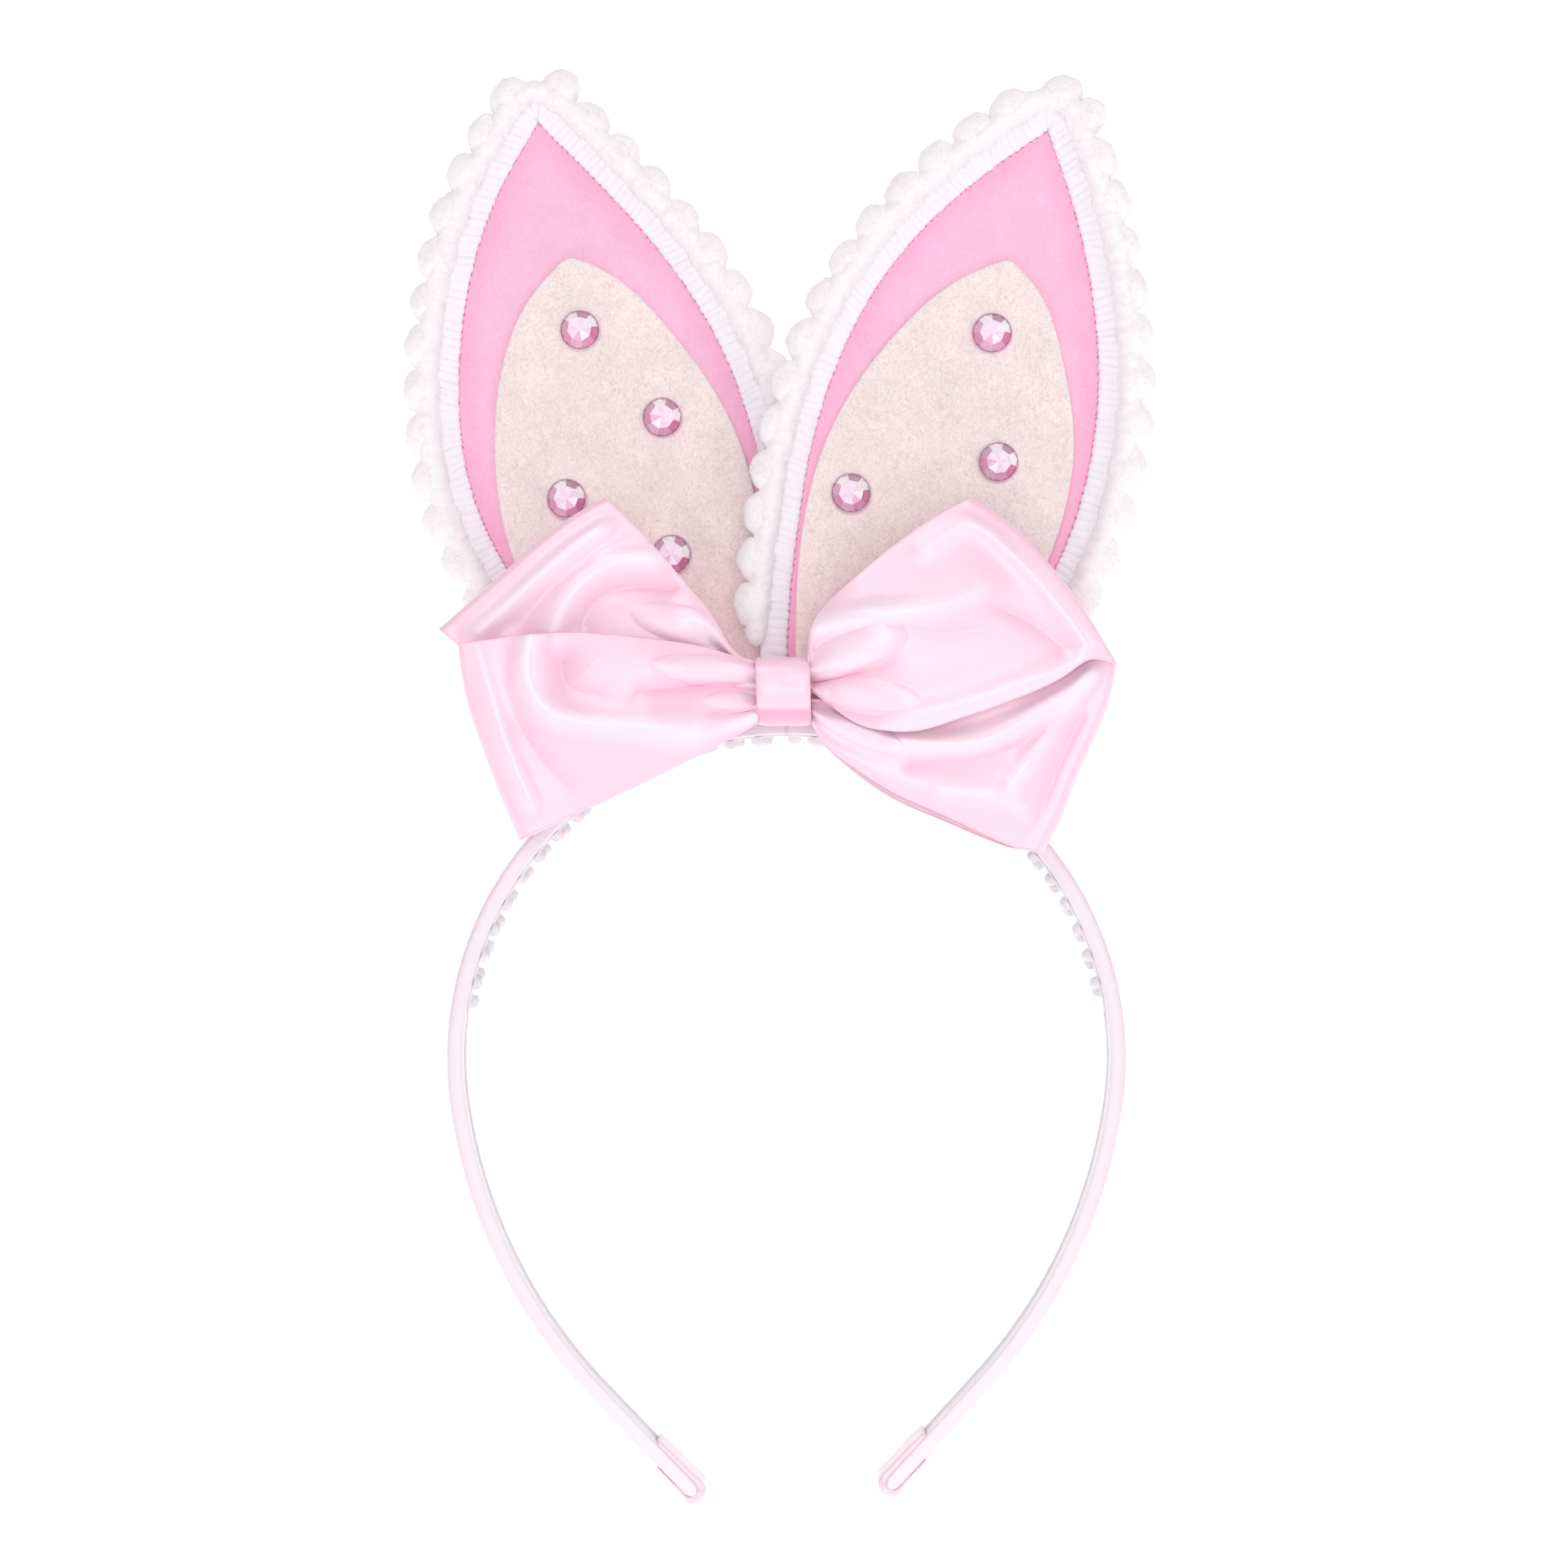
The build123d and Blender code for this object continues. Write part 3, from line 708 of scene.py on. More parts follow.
def leaf_grid(edges, cut_z, bottom=None, cells=46, rows=150):
    """Grid of (x, z) points over a leaf down to cut_z, then on to the saddle between two X values if given."""
    cut = []
    for e in edges:
        k = int(np.argmax(e[:, 1] < cut_z))
        f = (e[k - 1, 1] - cut_z) / (e[k - 1, 1] - e[k, 1])
        cut.append(resample(np.vstack([e[:k], e[k - 1] + f * (e[k] - e[k - 1])]), rows))
    # the cells are narrow near the edges, where the felt rounds off
    near = np.array([0.0, 0.1, 0.3, 0.6, 1.0, 1.6])
    grid = np.empty((rows, cells, 2))
    for i, (a, b) in enumerate(zip(*cut)):
        width = max(np.linalg.norm(b - a), 1e-9)
        k = min(1.0, width / 10)
        inner = np.linspace(near[-1] * k, width - near[-1] * k, cells - 2 * len(near) + 2)
        d = np.concatenate([near[:-1] * k, inner, width - near[-2::-1] * k]) / width
        grid[i] = a + (b - a) * d[:, None]
    if bottom is None:
        return grid
    x = np.linspace(*bottom, cells)
    target = np.stack([x, HOOP_Z + np.sqrt((SADDLE_R + SADDLE_T + 0.03) ** 2 - x ** 2)], 1)
    steps = np.linspace(0, 1, 16)[1:, None, None]
    return np.concatenate([grid, grid[-1] + steps * (target - grid[-1])])


def felt_sheet(name, side, grid, y_front, y_back, mat, round_r, tint=None):
    """A closed sheet of felt with soft edges between two depths, over a grid of (x, z) points."""
    x, z = grid[..., 0], grid[..., 1]
    d, _ = distance_to(grid.reshape(-1, 2), rim_of(grid))
    d = d.reshape(x.shape)
    mid, half = (y_front + y_back) / 2, (y_back - y_front) / 2
    bulge = np.sqrt(1 - (1 - np.clip(d / round_r, 0, 1)) ** 2)
    middle = mid + ear_wave(side, x, z) + 0.035 * noise(x * 1.3, z * 1.3, seed=5) * bulge
    colour = (1, 1, 1) if tint is None else tint(side, x, z, d)
    m = Mesh()
    for sign in (-1, 1):
        m.grid(np.stack([x, middle + sign * half * bulge, z], -1), flip=sign > 0, tint=colour, uv=grid)
    return m.make(name, mat, merge=0.002)


def rim_of(grid):
    """The outline of a grid: down one edge, along the bottom and up the other edge."""
    return np.concatenate([grid[:, 0], grid[-1, 1:], grid[::-1, -1][1:]])


def lean(obj):
    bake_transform(obj)


def pink_patches_and_edge_shade(side, x, z, d):
    """Felt with random patches of tone, and painted shade that deepens its colour close to its trimmed edge, next to
    the braid.
    """
    # painted shade near the trimmed edge
    edge = smooth(1 - (d - FELT_MARGIN) / 6.0)[..., None]
    patch = 0.03 * noise(x * 0.08, z * 0.08, seed=8)[..., None]
    return np.clip(1 + patch - edge * np.array([0.0, 0.14, 0.08]), 0, 1.1)


def pale_mottle_and_painted_light(side, x, z, d):
    """The inner panel is mottled at random, and painted light makes it lighter low down in its middle, where the bow
    shades it.
    """
    # painted light low in the middle, to offset the bow's shadow there
    low = smooth(1 - (z - 2) / 58) * smooth(1 - np.abs(x - 6.0 * SIGN[side]) / 46)
    mottle = 0.035 * noise(x * 0.16, z * 0.16, seed=12) + 0.02 * noise(x * 0.5, z * 0.5, seed=13)
    return np.clip(1 + mottle[..., None] + low[..., None] * np.array([0.13, 0.06, 0.07]), 0, 1.2)


def build_ear(side):
    mid = EAR_MID_Y[side]
    front = mid - FELT_T
    edges = leaf_sides(side, EAR_SIDES[side], FELT_MARGIN)
    grid = leaf_grid(edges, 7.0, FOOT_X[side])
    for name, y in (("front_felt", front), ("back_felt", mid + STIFF_T)):
        piece = felt_sheet(f"ear_{side}_{name}_cloth", side, grid, y, y + FELT_T, MAT["pink"], 0.55, pink_patches_and_edge_shade)
        lean(piece)
        stand_for(piece, "pink_felt", f"ear_{side}_{name}", f"ear_{side}_foot")
    stiff = leaf_grid(leaf_sides(side, EAR_SIDES[side], 1.5), 9.7)
    piece = felt_sheet(f"ear_{side}_stiffener_sheet", side, stiff, mid + 0.02, mid + STIFF_T - 0.02, MAT["strip"], 0.1)
    seat(piece, f"ear_{side}", "stiffener_sheet", f"ear_{side}_stiffener")

    left, right = leaf_sides(side, PANEL_SIDES[side], 0.0)
    rounded = soften(np.concatenate([left[::-1], right]), 1.3)
    top = int(rounded[:, 1].argmax())
    panel = leaf_grid([resample(p, EDGE_POINTS) for p in (rounded[top::-1], rounded[top:])], 7.6)
    piece = felt_sheet(f"ear_{side}_panel", side, panel, front - PANEL_T, front - 0.01, MAT["pale"], 0.45, pale_mottle_and_painted_light)
    lean(piece)
    stand_for(piece, "pale_felt", f"ear_{side}_inner_felt")
    build_braid(side, front)
    build_pompoms(side, front)


def soften(line, sigma):
    """Rounds a polyline's corners over a length sigma, away from its ends."""
    p = resample(line, 900)
    step = arc_lengths(p)[-1] / 899
    k = int(3 * sigma / step)
    w = np.exp(-0.5 * (np.arange(-k, k + 1) * step / sigma) ** 2)
    w /= w.sum()
    out = p.copy()
    for i in range(2):
        out[k:-k, i] = np.convolve(p[:, i], w, "valid")
    return out


def braid_path(side):
    """Stations along the braid's inner edge, from the left foot over the tip to the right foot, with normals."""
    sides = []
    for k, name in enumerate(edge_names(side)):
        p, n = grown_edge(EAR_SIDES[side][name], 0.0, k == 0, 1100)
        keep = p[:, 1] > BRAID_LOW_Z[side][name] - 3.0
        sides.append((p[keep], n[keep]))
    (p0, n0), (p1, n1) = sides
    a = np.linspace(atan2(n0[0, 1], n0[0, 0]), atan2(n1[0, 1], n1[0, 0]), 60)[1:-1]
    fan_n = np.stack([np.cos(a), np.sin(a)], 1)
    fan_p = np.repeat(p0[:1], len(a), 0)
    return np.concatenate([p0[::-1], fan_p, p1]), np.concatenate([n0[::-1], fan_n, n1])


def build_braid(side, front):
    """Gathered braid: uneven rounded ribs across it, and a scalloped inner edge with a dark thread mark at each notch,
    painted shadow in the notch.
    """
    p, n = braid_path(side)
    s = arc_lengths(p + n * BRAID_W * 0.5)
    marks = [0.0]
    while marks[-1] < s[-1] + 3:
        marks.append(marks[-1] + rng.uniform(1.15, 1.95))
    marks = np.array(marks)
    strength = rng.uniform(0.45, 1.0, len(marks))
    across = np.array([0.0, 0.12, 0.4, 0.8, 1.3, 2.0, 2.7, 3.4, 4.1, 4.7, 5.1, BRAID_W])
    lift = np.array([0.0, 0.45, 0.72, 0.88, 0.96, 1.0, 1.0, 1.0, 0.95, 0.82, 0.6, 0.0])
    slant = 0.16 * noise(s * 0.09, 0.0, seed={"left": 41, "right": 43}[side])
    pos = s[:, None] + slant[:, None] * (across[None] - BRAID_W / 2) * 2
    rank = np.clip(np.searchsorted(marks, pos) - 1, 0, len(marks) - 2)
    f = (pos - marks[rank]) / (marks[rank + 1] - marks[rank])
    rib = np.sqrt(np.clip(1 - (2 * np.clip(f, 0, 1) - 1) ** 2 * 0.96, 0, 1)) * strength[rank]
    scallop = (rib[:, :1] - 0.55) * 0.42
    reach = across[None] - scallop * np.exp(-across[None] / 0.8)
    wobble = 0.12 * noise(s[:, None] * 0.5, across[None] * 0.5, seed=45)
    height = lift[None] * (0.55 + 0.46 * rib + wobble)
    xz = p[:, None] + n[:, None] * reach[..., None]
    y = front + ear_wave(side, xz[..., 0], xz[..., 1]) - 0.02
    face = np.stack([xz[..., 0], y - height, xz[..., 1]], -1)
    back = np.stack([xz[..., 0], y + 0.02 * (1 - lift[None]), xz[..., 1]], -1)
    # painted shade: the slits between ribs are darkened towards lavender where they are deep
    deep = smooth(0.5 + 1.4 * noise(rank * 0.77, across[None] * 0.35, seed=46))
    slit_shade = (1 - np.clip(rib / strength[rank], 0, 1)) ** 2 * deep * smooth(across[None] / 0.5)
    shade = 1 - slit_shade[..., None] * np.array([0.10, 0.13, 0.07])
    m = Mesh()
    m.tube(np.concatenate([face, back[:, -2:0:-1]], 1), uv=uv_of(s, np.concatenate([across, across[-2:0:-1]])),
           tint=np.concatenate([shade, np.ones_like(back)[:, 1:-1]], 1))
    braid = m.make(f"ear_{side}_braid_ribs", MAT["braid"])
    lean(braid)
    stand_for(braid, "braid", f"ear_{side}_braid")
    # dark thread marks at the braid's notches stand in for the shadow there: painted shadow
    m = Mesh()
    for mark in marks[(marks >= 1) & (marks <= s[-1] - 1)]:
        k = int(np.searchsorted(s, mark))
        along = np.array([-n[k, 1], n[k, 0]])
        centre = p[k] + n[k] * 0.02 + along * rng.uniform(-0.1, 0.1)
        notch_shadow_mark(m, centre, along * 0.5 + n[k] * rng.uniform(-0.5, 0.5), front, side, rng.uniform(0.22, 0.42))
    obj = m.make(f"ear_{side}_notch_shadow_marks", MAT["thread"])
    lean(obj)


def notch_shadow_mark(m, centre, direction, front, side, half):
    """A short dark thread mark lying on the felt: painted shadow in a notch of the braid."""
    d = direction / np.linalg.norm(direction)
    e = np.array([-d[1], d[0]])
    turn = circle(6)[None]
    t = np.array([-1.0, -0.8, 0.0, 0.8, 1.0])[:, None]
    r = np.array([0.05, 0.15, 0.2, 0.15, 0.05])[:, None]
    xz = centre + d * (t * half + 0 * turn)[..., None] + e * (r * np.cos(turn))[..., None]
    y = front + float(ear_wave(side, *centre)) - 0.04 - r * np.sin(turn)
    m.tube(np.stack([xz[..., 0], y, xz[..., 1]], -1))


def islands(obj):
    """Centre of each separate solid in a CAD node, in millimetres."""
    me = obj.data
    co = np.empty(len(me.vertices) * 3)
    me.vertices.foreach_get("co", co)
    co = co.reshape(-1, 3)
    parent = list(range(len(co)))

    def root(i):
        while parent[i] != i:
            parent[i] = parent[parent[i]]
            i = parent[i]
        return i

    for edge in me.edges:
        a, b = (root(i) for i in edge.vertices)
        parent[b] = a
    groups = {}
    for i in range(len(co)):
        groups.setdefault(root(i), []).append(i)
    centres = [tuple((co[g].min(0) + co[g].max(0)) / 2 / MM) for g in groups.values()]
    return sorted(centres, key=lambda c: (round(c[0], 3), round(c[2], 3)))


def ball(radius, flat, seed, rings=18, cols=26, lump=0.10):
    """A lumpy ball round the origin, flattened front to back, open only at its two poles."""
    th = np.linspace(0.0, pi, rings)[:, None]
    ph = circle(cols)[None]
    d = np.stack(np.broadcast_arrays(np.sin(th) * np.cos(ph), np.cos(th), np.sin(th) * np.sin(ph)), -1)
    x, y, z = d[..., 0], d[..., 1], d[..., 2]
    r = radius * (1 + lump * noise(x * 2 + 9, y * 2, z * 2, seed=seed))
    r = r * (1 + 0.4 * lump * noise(x * 6, y * 6 + 5, z * 6, seed=seed + 1))
    return d * r[..., None] * np.array([1, 1 - flat, 1])


def fibres(m, centre, radius, count, length, flat):
    """Short curved strands of yarn standing out of a ball."""
    d = unit(rng.normal(size=(count, 3)))
    side = unit(np.cross(d, rng.normal(size=(count, 3))))
    curl = np.cross(d, side)
    long = length * rng.uniform(0.55, 1.25, count)[:, None]
    bendy = rng.uniform(-0.7, 0.7, count)[:, None]
    base = d * radius * 0.93 * np.array([1, 1 - flat, 1]) + centre
    strips = np.empty((count, 4, 2, 3))
    for k, (t, w) in enumerate(((0.0, 1.0), (0.35, 0.9), (0.7, 0.7), (1.0, 0.15))):
        q = base + d * long * t * (1 - 0.15 * t) + curl * long * bendy * t * t
        strips[:, k, 0] = q - side * FIBRE_W * w / 2
        strips[:, k, 1] = q + side * FIBRE_W * w / 2
    ids = m.put(strips.reshape(-1, 3)).reshape(count, 4, 2)
    quads = np.stack([ids[:, :-1, 0], ids[:, 1:, 0], ids[:, 1:, 1], ids[:, :-1, 1]], -1).reshape(-1, 4)
    m.faces.extend(quads.tolist())


def build_pompoms(side, front):
    """Fluffy balls along the braid, rising out of a lumpy chenille edge."""
    node = f"ear_{side}_pompoms"
    lo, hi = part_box(node)
    cad_r = (hi[1] - lo[1]) / MM / 2
    path, normal = braid_path(side)
    m = Mesh()
    for k, (x, y, z) in enumerate(islands(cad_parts[node])):
        r = cad_r * rng.uniform(0.96, 1.05)
        out_x, out_z = normal[np.argmin(np.hypot(path[:, 0] - x, path[:, 1] - z))]
        centre = np.array([x - POM_IN * r * out_x, y + float(ear_wave(side, x, z)), z - POM_IN * r * out_z])
        fluff = ball(r, POM_FLAT, 60 + k)
        # wider along the braid than across it, so that neighbours touch
        along = fluff[..., 0] * out_z - fluff[..., 2] * out_x
        fluff[..., 0] += POM_WIDE * along * out_z
        fluff[..., 2] -= POM_WIDE * along * out_x
        m.grid(fluff + centre, wrap_v=True)
        fibres(m, centre, r, 900, 0.7, POM_FLAT)
    lane = resample(path + normal * CHENILLE_AT, 700)[12:-12]
    s = arc_lengths(lane)
    heading = headings(lane)
    out = np.stack([heading[:, 1], -heading[:, 0]], 1)
    if np.dot(normal[0], out[0]) < 0:
        out = -out
    seed = {"left": 181, "right": 187}[side]
    swell = CHENILLE_R + 0.22 * noise(s * 0.42, 0.0, seed=seed) + 0.14 * noise(s * 1.1, 0.0, seed=seed + 1)
    turn = circle(18)
    knobs = 1 + 0.12 * noise(s[:, None] * 0.9, np.cos(turn)[None] * 1.3, np.sin(turn)[None] * 1.3, seed=seed + 2)
    ends = np.sqrt(np.clip(1 - np.abs(np.linspace(-1, 1, len(s))) ** 60, 0.02, 1))
    rr = (swell * ends)[:, None] * knobs
    y = front + ear_wave(side, lane[:, 0], lane[:, 1]) - 0.65
    xz = lane[:, None] + out[:, None] * (rr * np.cos(turn))[..., None]
    m.tube(np.stack([xz[..., 0], y[:, None] + CHENILLE_DEEP * rr * np.sin(turn), xz[..., 1]], -1), flip=True)
    for k in range(4, len(lane) - 4, 3):
        fibres(m, (lane[k, 0], y[k], lane[k, 1]), swell[k] * 0.97, 40, 0.8, -0.1)
    obj = m.make(f"ear_{side}_pompom_fluff", MAT["yarn"], merge=0.0005)
    seat(obj, f"ear_{side}", "pompom", node)


# ---- stones -----------------------------------------------------------------------------------------------
# Painted light and shade of the foil seen through the stone, one tone per facet from the right round through the top:
# painted highlight where the foil would turn to the light, painted shade in mauve and rose where it would turn away.
FACET_PAINTED_LIGHT = [
    (1.0, 0.98, 1.0), (0.50, 0.28, 0.38), (1.0, 0.97, 0.99), (0.70, 0.40, 0.54),
    (0.72, 0.30, 0.47), (0.86, 0.52, 0.68), (0.78, 0.36, 0.55), (0.66, 0.18, 0.36),
]
# painted reflections of the foil's star under the table: mauve and lilac, with one near-white painted highlight and
# one rose painted shade
TABLE_PAINTED_LIGHT = [
    (0.80, 0.62, 0.77), (0.77, 0.56, 0.72), (0.80, 0.63, 0.78), (0.74, 0.54, 0.70),
    (0.79, 0.60, 0.75), (0.71, 0.30, 0.50), (0.86, 0.78, 0.88), (0.76, 0.50, 0.66),
]
LEDGE = [(0.90, 0.02), (1.0, 0.05), (1.0, 0.38), (0.985, 0.52), (0.945, 0.58), (0.915, 0.5)]  # (share of r, height)
# the ledge's own pale pink, and painted shade on its inner lip where it drops towards the crown
LEDGE_PALE, LEDGE_SHADE = (0.86, 0.64, 0.75), (0.50, 0.26, 0.38)
GIRDLE, MIDDLE, TABLE = (0.92, 0.5), (0.80, 1.271), (0.60, 2.3)  # (share of r, height) of the crown's corners


def build_stones():
    """Round stones with a ledge, a crown of kite facets and a table over the foil's star."""
    for name in sorted(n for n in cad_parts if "_stone_" in n):
        side = name.split("_")[1]
        lo, hi = (np.array(v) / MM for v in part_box(name))
        cx, cz = (lo[0] + hi[0]) / 2, (lo[2] + hi[2]) / 2
        y0 = hi[1] + float(ear_wave(side, cx, cz))
        r = (hi[0] - lo[0]) / 2
        turn = rng.uniform(-0.25, 0.25)

        def at(place, a):
            return (cx + r * place[0] * cos(a), y0 - place[1], cz + r * place[0] * sin(a))

        m = Mesh()
        rings = np.array([[at(place, a) for a in circle(48)] for place in LEDGE])
        ids = m.grid(rings, wrap_v=True, tint=np.repeat([LEDGE_PALE] * 4 + [LEDGE_SHADE] * 2, 48, 0))
        m.cap(ids[0], True)
        flat_from = len(m.faces)
        for k in range(8):
            a0, am, a1 = (turn + pi * (k + half) / 4 for half in (0.0, 0.5, 1.0))
            tone = np.array(FACET_PAINTED_LIGHT[k]) * rng.uniform(0.92, 1.06)
            low0, low, low1 = (at(GIRDLE, a) for a in (a0, am, a1))
            mid0, mid1 = at(MIDDLE, a0), at(MIDDLE, a1)
            m.facet([mid0, low, mid1, at(TABLE, a1), at(TABLE, a0)], tone)
            # the two small facets beside each kite take darker copies of its tone: painted shade
            m.facet([low0, low, mid0], tone * 0.8)
            m.facet([low, low1, mid1], tone * 0.88)
        # each stone's star is turned a little from the next one's
        shift = int(name[-1]) % 3 - 1
        for k in range(8):
            a0, a1 = (turn + pi * (k + half) / 4 for half in (0.0, 1.0))
            tone = np.array(TABLE_PAINTED_LIGHT[(k + shift) % 8]) * rng.uniform(0.95, 1.05)
            m.facet([at((0.0, TABLE[1] + 0.03), 0), at(TABLE, a0), at(TABLE, a1)], tone)
        obj = m.make(f"{name}_cut", MAT["stone"])
        rounded = np.arange(len(obj.data.polygons)) < flat_from
        obj.data.polygons.foreach_set("use_smooth", rounded)
        seat(obj, f"ear_{side}", "stone", name)


# ---- bow --------------------------------------------------------------------------------------------------
def ribs_height(x, z, ribs):
    """Sum of soft ridges (positive) and valleys (negative) that follow lines drawn in X and Z.

    Each is (points, height at start, height at end, width at start, width at end)."""
    total = np.zeros(x.shape)
    flat = np.stack([x.ravel(), z.ravel()], 1)
    for points, h0, h1, w0, w1 in ribs:
        line = spline(points, 60) if len(points) > 2 else resample(np.array(points, float), 20)
        d, t = distance_to(flat, line)
        h = h0 + (h1 - h0) * t
        w = w0 + (w1 - w0) * t
        shape = np.where(h > 0, np.exp(-(d / w) ** 2), np.exp(-1.3 * d / w))
        total += (h * shape).reshape(x.shape)
    return total


def lobes_height(x, z, lobes):
    """Raised rounded fingers of cloth with a crisp outline: (x, z, half length, half width, angle, height)."""
    total = np.zeros(x.shape)
    for cx, cz, a, b, deg, height in lobes:
        c, s = cos(radians(deg)), sin(radians(deg))
        u, w = (x - cx) * c + (z - cz) * s, -(x - cx) * s + (z - cz) * c
        total += height * np.clip(1 - (u / a) ** 2 - (w / b) ** 2, 0, 1) ** 0.7
    return total


def loop_layer(spec, u, v):
    """The front layer of a loop in X and Z, spread between its top, its bottom, the knot and the fold."""

    def along(curve, t):
        return at_lengths(curve, t * arc_lengths(curve)[-1])

    top, bottom = (along(spline(spec[edge], 200), u) for edge in ("top", "bottom"))
    fold = along(spline(spec["fold"], 200), v)
    uu, vv = u[:, None, None], v[None, :, None]
    knot = (1 - v[:, None]) * spec["top"][0] + v[:, None] * spec["bottom"][0]
    layer = (1 - vv) * top[:, None] + vv * bottom[:, None] + (1 - uu) * knot[None] + uu * fold[None]
    corners = (1 - uu) * ((1 - vv) * top[0] + vv * bottom[0]) + uu * ((1 - vv) * top[-1] + vv * bottom[-1])
    return layer - corners


def make_loop(spec):
    """Points of one loop, its front layer, fold and back layer as a grid of (along, across), and their tints of
    painted shade and highlight.
    """
    u, v = np.linspace(0, 1, 150) ** 1.15, np.linspace(0, 1, 120)
    uu, vv = u[:, None], v[None, :]
    flat = loop_layer(spec, u, v)
    x, z = flat[..., 0], flat[..., 1]
    y_knot, y_mid, y_fold, y_home = spec["y"]
    belly, back_belly = spec["belly"]
    pleats, pleat_reach, *pleat_depth = spec["pleats"]
    rise, fall = smooth(uu / 0.42), smooth((uu - 0.45) / 0.55)
    relief = ribs_height(x, z, spec["ribs"]) + lobes_height(x, z, spec["lobes"])
    tucks = np.sin(2 * pi * (pleats * vv + 0.15 * np.sin(5 * vv))) * np.exp(-(uu / pleat_reach) ** 2)
    y = y_knot + (y_mid - y_knot) * rise + (y_fold - y_mid) * fall
    y = y - belly * np.sin(pi * uu) * np.sin(pi * vv) ** 0.8
    y = y - 1.25 * relief * (1 - smooth((uu - 0.93) / 0.07) * 0.6)
    y = y - 0.10 * noise(x * 0.12, z * 0.12, seed=spec["seed"]) * rise - pleat_depth[0] * tucks
    # the front layer ends short of the fold, so that the outside of the rolled fold is the outline
    step = unit(flat[-1] - flat[-2])
    at_top, at_bottom = spec["roll"]
    roll = at_top + (at_bottom - at_top) * v
    flat = flat - smooth((u - 0.80) / 0.20)[:, None, None] * roll[None, :, None] * step[None]
    rows = [np.stack([flat[..., 0], y, flat[..., 1]], -1)]
    for a in np.linspace(0, pi, 15)[1:]:
        out = flat[-1] + step * (roll * sin(a))[:, None]
        rows.append(np.stack([out[:, 0], y[-1] + roll * (1 - cos(a)), out[:, 1]], -1)[None])
    # back layer, from the fold home to the knot
    back_u = u[-2::-1, None]
    home = flat[-2::-1].copy()
    home[..., 1] += spec.get("back_drop", 0.0) * vv * np.sin(pi * back_u)
    back_y = y_home + (y[-1] + 2 * roll - y_home)[None] * smooth(back_u / 0.9)
    back_y = back_y + back_belly * np.sin(pi * back_u) * np.sin(pi * vv) - pleat_depth[1] * tucks[-2::-1]
    rows.append(np.stack([home[..., 0], back_y, home[..., 1]], -1))
    grid = np.concatenate(rows)
    # painted shade deepens the cloth's colour down in its folds, and painted highlight lightens it on its ridges
    depth = np.clip(relief - 0.5 * tucks, -1.6, 1.2)[..., None]
    tint = np.ones_like(grid)
    tint[:len(u)] = 1 + depth * np.where(depth < 0, [0.015, 0.15, 0.09], [0.01, 0.19, 0.13])
    return grid, tint


def ribbon_piece(name, strips, width, nodes, thick=0.28):
    """One piece of the bow's ribbon from one or more strips of (grid, tint), given real thickness."""
    m = Mesh()
    for grid, tint in strips:
        lengths = arc_lengths(grid[:, grid.shape[1] // 2])
        m.grid(grid, uv=uv_of(lengths, np.linspace(0, width, grid.shape[1])), tint=tint)
    obj = m.make(name, MAT["bow"])
    solid = obj.modifiers.new("thickness", "SOLIDIFY")
    solid.thickness = thick * MM
    solid.offset = 0.0
    seat(obj, "crown", "bow_satin", *nodes)


def selvedge(m, line, radius=0.2, pitch=0.75):
    """A woven edge or a thread: a fine cord with a bead at each turn."""
    total = arc_lengths(line)[-1]
    count = max(8, int(total / 0.25))
    p, s = resample(line, count), np.linspace(0, total, count)
    t = headings(p)
    a = unit(np.cross(t, np.array([0.0, 1.0, 0.0])))
    b = np.cross(t, a)
    r = radius * (0.85 + 0.3 * np.abs(np.sin(pi * s / pitch)))[:, None]
    rings = [p + (a * cos(turn) + b * sin(turn)) * r for turn in circle(6)]
    m.tube(np.stack(rings, 1), uv=uv_of(s, np.arange(6) * 0.2))


